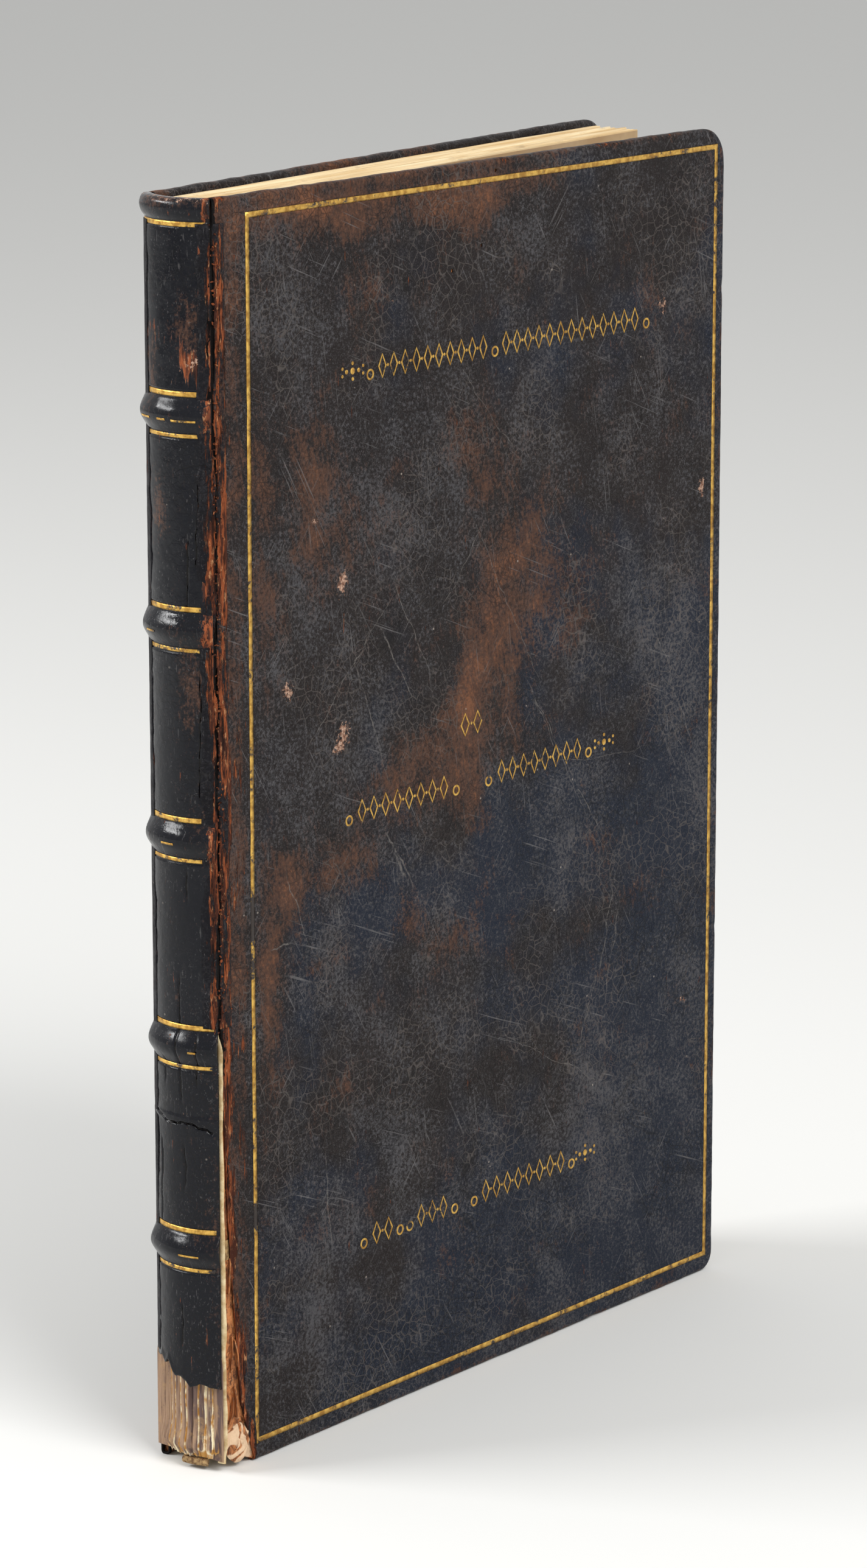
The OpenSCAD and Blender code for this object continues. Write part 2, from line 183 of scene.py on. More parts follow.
def from_block(points):
    """Row coordinates of points of the closed book."""
    return np.asarray(points, float) + FRONT_HINGE


def from_front(points):
    """Row coordinates of points in the front cover's frame, with the cover ajar."""
    return turn_z(points, -AJAR) + FRONT_HINGE


def from_rear(points):
    """Row coordinates of points in the rear cover's frame, which mirrors the front one's."""
    return np.asarray(points, float) * (1, -1, 1) + REAR_HINGE


def on_arc(angle, radius, z):
    """Points of the closed book at an angle from the spine's crest, positive towards the front."""
    return np.stack(
        [
            ARC_CENTRE[0] + radius * np.cos(APEX + angle),
            ARC_CENTRE[1] + radius * np.sin(APEX + angle),
            z + 0 * angle,
        ],
        -1,
    )


# Meshes


def make_piece(
    name, points, faces, finish, body, slot, replaces=(), marks=None, thickness=0.0, sharp=50
):
    """A finished piece at the origin. Points are in the row frame; marks are point attributes."""
    mesh = bpy.data.meshes.new(name)
    mesh.from_pydata((np.asarray(points) * MM).tolist(), [], [list(map(int, f)) for f in faces])
    for key, values in (marks or {}).items():
        layer = mesh.attributes.new(key, "FLOAT", "POINT")
        layer.data.foreach_set("value", np.ravel(values).astype(np.float32))
    mesh.materials.append(finish)
    mesh.shade_smooth()
    mesh.set_sharp_from_angle(angle=math.radians(sharp))
    piece = placed(name, mesh)
    if thickness:
        solid = piece.modifiers.new("Thickness", "SOLIDIFY")
        solid.thickness = thickness * MM
        solid.offset = -1
        piece.data = evaluated(piece)
        piece.modifiers.clear()
        bpy.data.meshes.remove(mesh)
    attach(piece, body, slot, replaces)
    return piece


def cover_piece(front, name, made, finish, slot, replaces=(), **options):
    """A finished piece of one cover. Made holds points in the cover's frame, faces wound as on
    the front cover, and marks if any. {side} in a name stands for front or rear."""
    points, faces, *marks = made
    side = "front" if front else "rear"
    make_piece(
        name.format(side=side), from_front(points) if front else from_rear(points),
        faces if front else [f[::-1] for f in faces], finish, f"{side}_cover", slot,
        [node.format(side=side) for node in replaces], *marks, **options,
    )


def placed(name, data):
    """A new object at the origin, in the scene."""
    piece = bpy.data.objects.new(name, data)
    bpy.context.scene.collection.objects.link(piece)
    return piece


def evaluated(piece):
    """The plain mesh that an object's modifiers lead to."""
    bpy.context.view_layer.update()
    graph = bpy.context.evaluated_depsgraph_get()
    made = bpy.data.meshes.new_from_object(piece.evaluated_get(graph))
    made.name = piece.name
    return made


def attach(piece, body, slot, replaces):
    """Parents a piece to the body it rides on, and hides the imported parts that it stands for. What
    it is made of, slot, is not used.
    """
    if body:
        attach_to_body(piece, body)
    if replaces:
        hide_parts(*replaces)


def merged(points, faces, distance=0.004):
    """Joins points that coincide, and drops faces that close up."""
    keys = np.round(np.asarray(points) / distance).astype(np.int64)
    _, first, where = np.unique(keys, axis=0, return_index=True, return_inverse=True)
    where = where.ravel()
    kept = []
    for face in faces:
        ring = [where[i] for i in face]
        ring = [v for k, v in enumerate(ring) if v != ring[k - 1]]
        if len(set(ring)) > 2:
            kept.append(ring)
    return np.asarray(points)[first], kept


def shifted(faces, first):
    """Faces whose points are numbered from first on."""
    return [[v + first for v in face] for face in faces]


def joined(parts):
    """Several pairs of points and faces as one pair."""
    points, faces = [], []
    for more, theirs in parts:
        faces += shifted(theirs, len(points))
        points += more
    return np.array(points), faces


def grid_faces(rows, columns, wrap_rows=False, wrap_columns=False, flip=False):
    """Faces of a grid whose points are numbered row by row."""
    faces = []
    for i in range(rows if wrap_rows else rows - 1):
        here, beyond = i * columns, (i + 1) % rows * columns
        for j in range(columns if wrap_columns else columns - 1):
            k = (j + 1) % columns
            a, b, c, d = here + j, here + k, beyond + k, beyond + j
            faces.append((a, d, c, b) if flip else (a, b, c, d))
    return faces


def fill(boundary, lines, inner):
    """Triangles over a flat outline. Lines are rings of points that the triangles keep to."""
    points, edges = [], []
    for ring in [boundary, *lines]:
        first = len(points)
        points += [Vector(p) for p in ring]
        edges += [(first + i, first + (i + 1) % len(ring)) for i in range(len(ring))]
    points += [Vector(p) for p in inner]
    verts, _, faces, *_ = delaunay_2d_cdt(points, edges, [], 1, 1e-5, False)
    flat = np.array([tuple(v) for v in verts])
    faces = np.array([f for f in faces if len(f) == 3])
    a, b, c = (flat[faces[:, k]] for k in range(3))
    ab, ac = b - a, c - a
    area = ab[:, 0] * ac[:, 1] - ab[:, 1] * ac[:, 0]
    faces[area < 0] = faces[area < 0][:, ::-1]
    return flat, faces[np.abs(area) > 1e-9]


def within_ring(spots, ring):
    """Whether flat spots lie within a ring: an odd number of its sides is to their right."""
    a, b = ring, np.roll(ring, -1, 0)
    x, y = spots[:, :1], spots[:, 1:]
    crossed = (a[:, 1] > y) != (b[:, 1] > y)
    meets = a[:, 0] + (y - a[:, 1]) / (b[:, 1] - a[:, 1] + 1e-12) * (b[:, 0] - a[:, 0])
    return np.sum(crossed & (x < meets), 1) % 2 == 1


# Nodes, of materials and of geometry


def feed(tree, socket, value):
    """Links a socket to the output that it is given, or sets its value."""
    if isinstance(value, bpy.types.NodeSocket):
        tree.links.new(value, socket)
    else:
        socket.default_value = value


def put(tree, kind, values, out=0, **settings):
    """A new node, its inputs given by name or by number. Returns one of its outputs."""
    node = tree.nodes.new(kind)
    for key, value in settings.items():
        setattr(node, key, value)
    for key, value in values.items():
        feed(tree, node.inputs[key], value)
    return node.outputs[out]


def shade(value):
    """A colour as a node takes it. Numbers and outputs stay as they are."""
    if isinstance(value, (int, float, bpy.types.NodeSocket)):
        return value
    return (*(c / 12.92 if c <= 0.04045 else ((c + 0.055) / 1.055) ** 2.4 for c in value), 1)


# Finishes


class Finish:
    """A material being built. Positions are Object coordinates in millimetres."""

    def __init__(self, name, place=None):
        self.material = bpy.data.materials.new(name)
        self.material.use_nodes = True
        self.tree = self.material.node_tree
        self.shader = self.tree.nodes["Principled BSDF"]
        self.spot = self.mapped(self.put("TexCoord", out="Object"), scale=(1000,) * 3)
        if place:
            self.spot = self.mapped(self.spot, **place)

    def put(self, kind, *values, out=0, **settings):
        """A new node, its inputs given in order. None leaves one out."""
        given = {i: value for i, value in enumerate(values) if value is not None}
        return put(self.tree, "ShaderNode" + kind, given, out, **settings)

    def mapped(self, vector, location=(0, 0, 0), rotation=(0, 0, 0), scale=(1, 1, 1)):
        return self.put("Mapping", vector, location, rotation, scale)

    def math(self, operation, a, b=None):
        return self.put("Math", a, b, operation=operation)

    def add(self, *terms):
        return reduce(lambda a, b: self.math("ADD", a, b), terms)

    def most(self, *terms):
        """The largest of several values."""
        return reduce(lambda a, b: self.math("MAXIMUM", a, b), terms)

    def times(self, a, b):
        return self.math("MULTIPLY", a, b)

    def swing(self, noise, strength):
        """A noise brought round zero, so that it adds as much as it takes away."""
        return self.times(self.math("SUBTRACT", noise, 0.5), strength)

    def noise(self, scale, detail=3.0, roughness=0.55, stretch=None, turn=(0, 0, 0)):
        """Noise with scale lumps to the millimetre, along each axis times its stretch."""
        vector = self.spot
        if stretch:
            vector = self.mapped(self.mapped(vector, rotation=turn), scale=stretch)
        given = {"Vector": vector, "Scale": scale, "Detail": detail, "Roughness": roughness}
        return put(self.tree, "ShaderNodeTexNoise", given)

    def cells(self, scale):
        """Distance to the middle of the nearest cell, with scale cells to the millimetre."""
        return put(self.tree, "ShaderNodeTexVoronoi", {"Vector": self.spot, "Scale": scale})

    def cracks(self, scale, width, wander):
        """1 along a net of fine cracks, 0 elsewhere."""
        given = {"Vector": self.spot, "Scale": scale * 0.6}
        shift = put(self.tree, "ShaderNodeTexNoise", given, 1)
        shift = self.put("VectorMath", shift, (0.5, 0.5, 0.5), operation="SUBTRACT")
        shift = self.put("VectorMath", shift, (wander,) * 3, operation="MULTIPLY")
        moved = self.put("VectorMath", self.spot, shift, operation="ADD")
        given = {"Vector": moved, "Scale": scale}
        net = put(self.tree, "ShaderNodeTexVoronoi", given, "Distance", feature="DISTANCE_TO_EDGE")
        return self.ramp(net, width, 0.0)

    def ramp(self, value, low, high, bottom=0.0, top=1.0):
        """From bottom at low to top at high, flat beyond both. High may be the smaller one."""
        if low > high:
            low, high, bottom, top = high, low, top, bottom
        given = {
            "Value": value, "From Min": low, "From Max": high, "To Min": bottom, "To Max": top
        }
        settings = {"interpolation_type": "SMOOTHSTEP"}
        return put(self.tree, "ShaderNodeMapRange", given, "Result", **settings)

    def mark(self, name):
        """One of the piece's own marks, see make_piece."""
        return self.put("Attribute", out="Fac", attribute_name=name)

    def mix(self, factor, a, b):
        given = {0: factor, 6: shade(a), 7: shade(b)}
        return put(self.tree, "ShaderNodeMix", given, 2, data_type="RGBA")

    def stroke(self, ax, az, bx, bz, width, wander):
        """1 along a scratch from (ax, az) to (bx, bz), fading at both ends. Wander bends it."""
        length = math.hypot(bx - ax, bz - az)
        dx, dz = (bx - ax) / length, (bz - az) / length
        local = self.put("VectorMath", self.spot, (ax, 0, az), operation="SUBTRACT")
        along, across = (
            self.put("VectorMath", local, way, operation="DOT_PRODUCT", out=1)
            for way in ((dx, 0, dz), (-dz, 0, dx))
        )
        across = self.math("ABSOLUTE", self.add(across, wander))
        near = self.ramp(across, width, width * 0.3)
        rise, fall = self.ramp(along, 0, length * 0.2), self.ramp(along, length, length * 0.7)
        return self.times(near, self.math("MINIMUM", rise, fall))

    def bump(self, height, strength, distance):
        given = {"Strength": strength, "Distance": distance * MM, "Height": height}
        feed(self.tree, self.shader.inputs["Normal"], put(self.tree, "ShaderNodeBump", given))

    def set(self, colour, roughness, metallic=0.0):
        """Gives the shader its values, and returns the material."""
        values = {"Base Color": shade(colour), "Roughness": roughness, "Metallic": metallic}
        for key, value in values.items():
            feed(self.tree, self.shader.inputs[key], value)
        return self.material


def look():
    return bpy.context.scene.folio_look


def leather_finish(
    name, place=None, gloss=0.0, worn=1.0, strokes=(), sheen=0.11, depth=0.0, relief=0.5
):
    """Blackened calf, rubbed to brown, with crackle, scratches and raw red-brown breaks.

    The marks brown, rust and scuff say where the wear lies, crack where shade is painted into
    open cracks; the noise gives them their edges.
    Gloss takes from the roughness, worn and depth weigh the grey and the deep blue-black of the
    surface, which is the leather's own black with a blue that partly paints a bluish reflection;
    strokes are single scratches, sheen is the specular level, relief the bump's height."""
    f = Finish(name, place)
    props = look()
    broad = f.noise(0.02, 4, 0.6)
    middle = f.noise(0.11, 6, 0.68)
    fine = f.noise(1.0, 5, 0.75)
    speckle = f.noise(3.0, 3, 0.7)

    # Black to blue-black across the cover, then dust in its grain
    across = f.put("SeparateXYZ", f.spot)
    lean = f.add(across, f.times(across.node.outputs["Z"], -0.6))
    bluish = f.add(broad, f.times(lean, 0.0011), -0.03)
    colour = f.mix(f.ramp(bluish, 0.42, 0.6), props.leather_black, props.leather_blue)
    wide = f.noise(0.035, 4, 0.6, turn=(0, 0.5, 0), stretch=(1, 1, 0.6))
    dusty = f.add(f.times(middle, 0.45), f.times(wide, 0.55), f.swing(fine, 1.3))
    colour = f.mix(f.ramp(dusty, 0.47, 0.7, 0, 0.9 * worn), colour, props.leather_grey)
    grey_specks = f.times(f.ramp(speckle, 0.55, 0.7), 0.4 * worn)
    colour = f.mix(grey_specks, colour, props.leather_scratch)
    # depth mixes in the deep blue-black: the leather's own black, its blue partly a painted bluish
    # reflection
    if depth:
        colour = f.mix(depth, colour, (0.035, 0.045, 0.075))

    # Rubbed brown, and bare tan where it is rubbed most
    rubbed = f.add(
        f.mark("brown"),
        f.swing(f.noise(0.07, 6, 0.7, turn=(0, 0, 0.4), stretch=(1, 1, 1)), 2.6 * worn),
        f.swing(fine, 2.4),
        f.swing(f.noise(0.5, 4, 0.7, stretch=(1.5, 1.5, 0.35), turn=(0, 0.25, 0)), 1.6),
    )
    colour = f.mix(f.ramp(rubbed, 0.3, 0.95, 0, 0.85), colour, props.leather_brown)
    colour = f.mix(f.ramp(rubbed, 0.9, 1.6, 0, 0.8), colour, props.leather_tan)

    # Crackle, dark and pale
    net = f.most(
        f.times(f.cracks(0.62, 0.11, 0.9), 0.75),
        f.times(f.cracks(0.17, 0.035, 2.5), 0.9),
    )
    net = f.times(net, f.ramp(f.noise(0.035, 3), 0.4, 0.58, 0.12, 1.0))
    colour = f.mix(f.times(net, 0.7), colour, (0.05, 0.045, 0.05))
    pale_net = f.times(f.cracks(0.34, 0.05, 1.6), f.ramp(f.noise(0.03, 4), 0.47, 0.6))
    pale_net = f.times(pale_net, 0.55 * worn * (1 - depth))
    colour = f.mix(pale_net, colour, (0.36, 0.335, 0.32))

    # Fine scratches in four directions, then the single long ones
    lines = []
    for angle, scale in ((0.55, 1.0), (-0.7, 1.25), (1.2, 0.85), (0.15, 1.1)):
        streak = f.noise(scale, 3, 0.55, stretch=(1.8, 1.8, 0.04), turn=(0, angle, 0))
        patch = f.ramp(f.noise(0.05 * scale, 3), 0.46, 0.6)
        lines.append(f.times(f.ramp(streak, 0.63, 0.7), patch))
    scratches = f.most(*lines)
    colour = f.mix(f.times(scratches, 0.5 * worn), colour, props.leather_scratch)
    cut = None
    if strokes:
        wander = f.swing(f.noise(0.09, 3), 5.0)
        cut = f.most(*[f.stroke(*stroke, wander) for stroke in strokes])
        cut = f.times(cut, f.ramp(f.noise(0.6, 3, 0.7), 0.38, 0.6, 0.15, 1.0))
        colour = f.mix(f.times(cut, 0.55), colour, (0.47, 0.45, 0.43))
    specks = f.times(f.ramp(f.cells(0.17), 0.06, 0.03), f.ramp(f.noise(0.3, 1), 0.5, 0.6))
    colour = f.mix(f.times(specks, 0.7 * worn), colour, (0.62, 0.58, 0.54))

    # Raw leather where the skin is broken, with pale and dark fibres
    raw = f.add(f.mark("rust"), f.swing(f.noise(0.5, 6, 0.72, stretch=(1.6, 1.6, 0.2)), 3.0))
    raw_mask = f.ramp(raw, 0.42, 0.62)
    fibres = f.noise(0.6, 4, 0.7, stretch=(1.4, 1.4, 0.14))
    raw_tone = f.mix(f.ramp(fibres, 0.44, 0.58), props.rust_dark, props.rust_red)
    fibres = f.noise(1.1, 4, 0.72, stretch=(1, 1, 0.3))
    raw_tone = f.mix(f.ramp(fibres, 0.56, 0.68, 0, 0.9), raw_tone, props.rust_pale)
    fibres = f.noise(0.75, 3, 0.7, stretch=(1.3, 1.3, 0.12))
    raw_tone = f.mix(f.ramp(fibres, 0.53, 0.61, 0, 0.9), raw_tone, (0.1, 0.06, 0.05))
    colour = f.mix(raw_mask, colour, raw_tone)

    # Pale scuffs, and painted shade in open cracks over everything
    scuff_mask = f.ramp(f.add(f.mark("scuff"), f.swing(f.noise(0.7, 5, 0.75), 3.2)), 0.62, 0.78)
    scuff_tone = f.mix(f.ramp(f.noise(1.2, 4), 0.4, 0.65), (0.42, 0.29, 0.23), (0.74, 0.61, 0.53))
    colour = f.mix(scuff_mask, colour, scuff_tone)
    # The crack mark paints near-black shade into open cracks and the gaps at the joints
    split = f.ramp(f.add(f.mark("crack"), f.swing(f.noise(0.9, 3, 0.7), 0.7)), 0.35, 0.6)
    colour = f.mix(split, colour, (0.035, 0.022, 0.02))

    rough = f.most(
        f.ramp(f.noise(0.2, 5, 0.65), 0.35, 0.68, 0.42 - gloss, 0.62 - gloss),
        f.times(raw_mask, 0.85),
        f.times(scuff_mask, 0.8),
        f.times(f.ramp(rubbed, 0.7, 1.3), 0.65),
    )
    height = f.add(
        f.times(net, -0.7),
        f.times(scratches, -0.35),
        f.times(f.noise(1.0, 3, 0.5), 1.3),
        f.times(f.noise(0.3, 2, 0.5), 2.6),
        f.times(f.times(raw_mask, f.noise(1.1, 5, 0.75)), 4.0),
        f.times(scuff_mask, -0.6),
    )
    if cut is not None:
        height = f.add(height, f.times(cut, -0.7))
    f.bump(height, 0.85, 0.22 * relief)
    f.shader.inputs["Specular IOR Level"].default_value = sheen
    return f.set(colour, rough)


def gold_finish(name, wear):
    """Tooled gold leaf, rubbed through to dark leather in places."""
    f = Finish(name)
    props = look()
    rub = f.add(f.noise(0.35, 5, 0.7), f.times(f.noise(0.035, 2), 0.35))
    bare = f.ramp(rub, 0.98 - 0.5 * wear, 1.1 - 0.5 * wear)
    marked = f.add(f.mark("bare"), f.swing(f.noise(0.8, 4, 0.7), 1.6))
    bare = f.most(bare, f.ramp(marked, 0.4, 0.62))
    tone = f.mix(f.ramp(f.noise(0.6, 4), 0.35, 0.65), props.gold_deep, props.gold_bright)
    colour = f.mix(bare, tone, (0.13, 0.085, 0.06))
    f.bump(f.add(f.noise(2.5, 3), f.times(bare, -0.5)), 0.4, 0.1)
    rough = f.ramp(f.noise(0.9, 3), 0.3, 0.7, 0.3, 0.5)
    return f.set(colour, rough, metallic=f.ramp(bare, 1.0, 0.0, 0.0, 0.85))


def leaf_finish():
    """Toned edges of old rag paper, with painted shade between the leaves in fine layers across the
    block.
    """
    f = Finish("LeafEdges")
    props = look()
    layer = f.noise(1.0, 3, 0.6, stretch=(0.012, 5.0, 0.012))
    broad = f.noise(1.0, 2, 0.5, stretch=(0.02, 0.9, 0.02))
    # leaf_shadow is painted shade between the leaves, in fine layers
    colour = f.mix(f.ramp(layer, 0.35, 0.65), props.leaf_shadow, props.leaf_cream)
    colour = f.mix(f.ramp(broad, 0.4, 0.62, 0, 0.45), colour, props.leaf_tan)
    dust = f.noise(0.12, 5, 0.65)
    colour = f.mix(f.ramp(dust, 0.55, 0.75, 0, 0.35), colour, (0.55, 0.43, 0.28))
    f.bump(f.add(layer, f.times(f.noise(1.6, 4, 0.7), 0.4)), 0.5, 0.12)
    return f.set(colour, 0.85)


def paper_finish():
    """Flat rag paper with faint laid lines, brown rims at tail and head, and foxing."""
    f = Finish("EndPaper")
    props = look()
    cloud = f.noise(0.03, 4, 0.6)
    colour = f.mix(f.ramp(cloud, 0.38, 0.66), props.paper_light, props.paper_toned)
    laid = f.noise(1.0, 1, 0.5, stretch=(0.02, 0.02, 1.4))
    colour = f.mix(f.times(f.ramp(laid, 0.4, 0.6), 0.25), colour, props.paper_toned)
    height = f.put("SeparateXYZ", f.spot, out="Z")
    height = f.add(height, f.times(f.noise(0.04, 4, 0.7), 24), -12)
    reach = TURN_IN + 6
    rims = f.most(f.ramp(height, reach, 0), f.ramp(height, COVER_H - reach, COVER_H))
    colour = f.mix(f.times(rims, 0.8), colour, (0.62, 0.48, 0.32))
    spots = f.times(f.ramp(f.cells(0.05), 0.2, 0.03), f.ramp(f.noise(0.02, 2), 0.42, 0.62))
    colour = f.mix(f.times(spots, 0.6), colour, (0.56, 0.36, 0.2))
    f.bump(f.add(f.times(laid, 0.5), f.noise(1.2, 4, 0.6)), 0.25, 0.08)
    return f.set(colour, 0.8)


def quire_finish():
    """Backs of the sewn gatherings: dark glue between pale paper folds."""
    f = Finish("QuireBacks")
    props = look()
    fibre = f.noise(0.9, 4, 0.6, stretch=(1.5, 1.5, 0.08))
    broad = f.noise(0.33, 3, 0.55, stretch=(1.3, 1.3, 0.12))
    fold = f.add(f.mark("ridge"), f.swing(fibre, 0.9))
    glue = f.mix(f.ramp(broad, 0.42, 0.58), (0.37, 0.29, 0.27), (0.63, 0.51, 0.41))
    glue = f.mix(f.ramp(fibre, 0.52, 0.66, 0, 0.5), glue, (0.33, 0.24, 0.2))
    glue = f.mix(f.ramp(f.noise(0.25, 4, 0.7), 0.52, 0.68, 0, 0.45), glue, (0.7, 0.56, 0.38))
    pale = f.mix(f.ramp(f.noise(0.4, 3), 0.42, 0.62), (0.78, 0.58, 0.3), props.leaf_cream)
    colour = f.mix(f.ramp(fold, 0.35, 0.62), glue, pale)
    dirt = f.ramp(f.noise(1.6, 4, 0.7), 0.6, 0.72, 0, 0.6)
    colour = f.mix(dirt, colour, (0.17, 0.12, 0.1))
    f.bump(f.add(f.times(fibre, 2.0), f.times(fold, 0.4)), 0.8, 0.3)
    return f.set(colour, 0.85)


def board_finish():
    """Layered pasteboard with torn fibres, its torn mark also painting light and shade on the
    crumpled corner's folds.
    """
    f = Finish("Pasteboard")
    props = look()
    layers = f.noise(1.0, 3, 0.6, stretch=(0.15, 4.0, 0.15))
    colour = f.mix(f.ramp(layers, 0.38, 0.62), props.board_dark, props.board_light)
    fibre = f.noise(1.2, 5, 0.75)
    colour = f.mix(f.ramp(fibre, 0.56, 0.7, 0, 0.75), colour, (0.8, 0.66, 0.5))
    # Pale where the torn mark is high: torn fibres, and on the corner lump a painted highlight on
    # its bulging folds
    pale = f.add(f.mark("torn"), f.swing(f.noise(0.5, 4), 1.0))
    colour = f.mix(f.ramp(pale, 0.4, 0.75), colour, (0.9, 0.77, 0.63))
    # Dark where the torn mark is low: on the corner lump this is painted shade between its folds
    dark = f.noise(0.8, 4, 0.7, stretch=(1.3, 1.3, 0.25))
    dark = f.times(f.ramp(dark, 0.5, 0.62), f.ramp(f.mark("torn"), 0.7, 0.2, 0.15, 0.85))
    colour = f.mix(dark, colour, (0.27, 0.15, 0.09))
    f.bump(f.add(fibre, layers), 0.8, 0.35)
    return f.set(colour, 0.9)


def plain_finish(name, low, high, scale, relief=0.4):
    """Two tones worked into each other, for thread, cord and the strip in the joint."""
    f = Finish(name)
    tone = f.ramp(f.noise(scale, 4, 0.65), 0.35, 0.65)
    f.bump(f.noise(scale * 3, 3, 0.65), relief, 0.15)
    return f.set(f.mix(tone, low, high), 0.85)


# Front cover: where the real one is rubbed brown, broken or scuffed, as (x, z, radius along x,
# radius along z, strength); its long scratches, as (x, z, x, z, width); its wormholes, as (x, z)

BROWN_FRONT = [
    (33, 238, 14, 20, 0.75), (22, 205, 10, 22, 0.45), (58, 228, 14, 16, 0.35),
    (97, 238, 12, 18, 0.5), (108, 205, 16, 26, 0.8), (98, 182, 14, 18, 0.7),
    (128, 205, 12, 18, 0.55), (138, 190, 10, 14, 0.35), (84, 165, 16, 14, 0.75),
    (60, 160, 14, 12, 0.55), (96, 152, 12, 12, 0.55), (45, 144, 18, 8, 0.8),
    (24, 138, 9, 14, 0.9), (18, 118, 5, 16, 0.8), (70, 122, 20, 7, 0.5),
    (95, 115, 14, 8, 0.45), (44, 86, 10, 8, 0.45), (20, 92, 6, 16, 0.4),
    (60, 303, 44, 7, 1.0), (96, 297, 12, 8, 0.8), (118, 304, 18, 5, 0.8), (30, 306, 20, 4, 0.7),
    (55, 284, 16, 9, 0.45), (170, 268, 8, 8, 0.5), (150, 76, 8, 9, 0.45),
    (166, 114, 8, 7, 0.4), (150, 128, 10, 6, 0.35), (36, 60, 8, 10, 0.35),
    (185, 250, 6, 20, 0.25), (16, 240, 4, 30, 0.55), (15, 60, 3, 40, 0.35),
]
RUST_FRONT = [
    (52, 308.5, 34, 2.6, 0.14), (98, 308.5, 14, 2.2, 0.14), (16, 307, 10, 3.0, 0.16),
    (24, 139, 6, 8, 0.2), (202.5, 300, 1.2, 6, 0.4), (7, 106, 3, 2.5, 0.5),
]
SCUFF_FRONT = [
    (46.6, 213.3, 2.4, 3.6, 1.1), (26.0, 189.8, 2.0, 2.8, 1.05), (47.0, 176.0, 2.6, 4.0, 1.0),
    (44.0, 172.5, 2.2, 2.0, 0.8), (176.5, 266.5, 1.6, 3.4, 0.9), (194.5, 216.5, 1.5, 3.2, 1.1),
    (188.0, 78.9, 1.5, 1.6, 1.0), (36.0, 229.5, 1.6, 1.2, 0.8), (57.5, 188.0, 1.0, 3.0, 0.6),
    (100.8, 243.0, 1.0, 1.0, 0.8), (66.0, 279.0, 1.6, 1.2, 0.6), (77.0, 170.0, 1.2, 1.6, 0.6),
    (166.5, 114.5, 1.2, 1.6, 0.7), (106.0, 205.0, 0.9, 1.4, 0.7), (31.0, 100.0, 1.0, 1.0, 0.6),
]
STROKES_FRONT = [
    (59, 203, 76, 176, 0.32), (66, 212, 81, 184, 0.22), (50, 196, 66, 158, 0.2),
    (62, 150, 75, 131, 0.34), (66, 143, 71, 134, 0.5), (30, 172, 72, 214, 0.18),
    (116, 182, 158, 122, 0.2), (120, 176, 150, 130, 0.16), (157, 118, 150, 88, 0.28),
    (160, 112, 153, 84, 0.22), (150, 96, 141, 72, 0.2), (84, 200, 104, 222, 0.16),
    (24, 147, 36, 120, 0.18), (38, 74, 41, 44, 0.22), (18, 128, 30, 128, 0.2),
    (96, 224, 130, 168, 0.14), (170, 190, 196, 140, 0.16), (174, 170, 198, 128, 0.14),
    (104, 90, 160, 60, 0.14), (90, 262, 118, 232, 0.14), (130, 154, 176, 150, 0.12),
]
WORMHOLES = [(100.9, 289.2), (89.3, 284.1), (106.4, 307.0)]

# Leather lost at the front joint: height above the tail, and where the leather starts
LOSS = [
    (0, 11.2), (2, 11.4), (5, 10.9), (8, 11.0), (10.5, 9.6), (13, 7.6), (16, 6.3), (20, 7.0),
    (25, 7.4), (30, 7.2), (33, 6.2), (36, 4.6), (39, 4.9), (45, 4.7), (49, 3.4), (54, 3.8),
    (60, 3.9), (66, 3.0), (71, 1.9), (80, 2.1), (92, 1.5), (105, 1.1), (111, 0.7), (112, 0.35),
    (310, 0.35),
]


def leather_start(z, front):
    """Distance from the hinge line at which a cover's leather starts."""
    if not front:
        return JOINT_GAP + 0.1 + 0 * z
    heights, starts = np.array(LOSS).T
    ragged = 0.25 * grain(z / 1.3, 0 * z, 5, 3) * smooth(z, 114, 106)
    return np.maximum(np.interp(z, heights, starts) + ragged, JOINT_GAP + 0.02)


def frame_distance(x, z):
    """Distance from the middle of the gilt line, negative inside the frame."""
    x0, z0, x1, z1 = GILT_BOX
    return np.maximum(
        np.abs(x - (x0 + x1) / 2) - (x1 - x0) / 2,
        np.abs(z - (z0 + z1) / 2) - (z1 - z0) / 2,
    )


def undulation(x, z, front):
    """Relief of the covering leather, inwards positive."""
    seed = 11 if front else 47
    depth = 0.11 * grain(x / 60, z / 60, seed, 2) + 0.035 * grain(x / 7, z / 7, seed + 3, 3)
    for height in BAND_Z:  # the slips of the cords show through
        depth = depth - 0.16 * np.exp(-(((z - height) / 2.6) ** 2)) * smooth(x, 17, 9)
    depth = depth + 0.22 * smooth(x, 5.5, 1.0) * (1 if front else 0.6)
    if front:  # the torn edge curls up near the tail
        past = x - leather_start(z, True)
        lip = smooth(np.abs(past - 0.7), 1.0, 0.2) * smooth(z, 95, 80) * smooth(past, 0, 0.3)
        depth = depth - 0.4 * lip
    crumbled = smooth(x, 6.5, 3.0) * (1.0 if front else 0.25)
    return depth + 0.24 * crumbled * grain(x / 0.9, z / 1.7, seed + 8, 3)


def groove(x, z):
    """Depth of the groove that the gilt line lies in."""
    return GROOVE * smooth(np.abs(frame_distance(x, z)), LIPS_HALF, FLOOR_HALF)


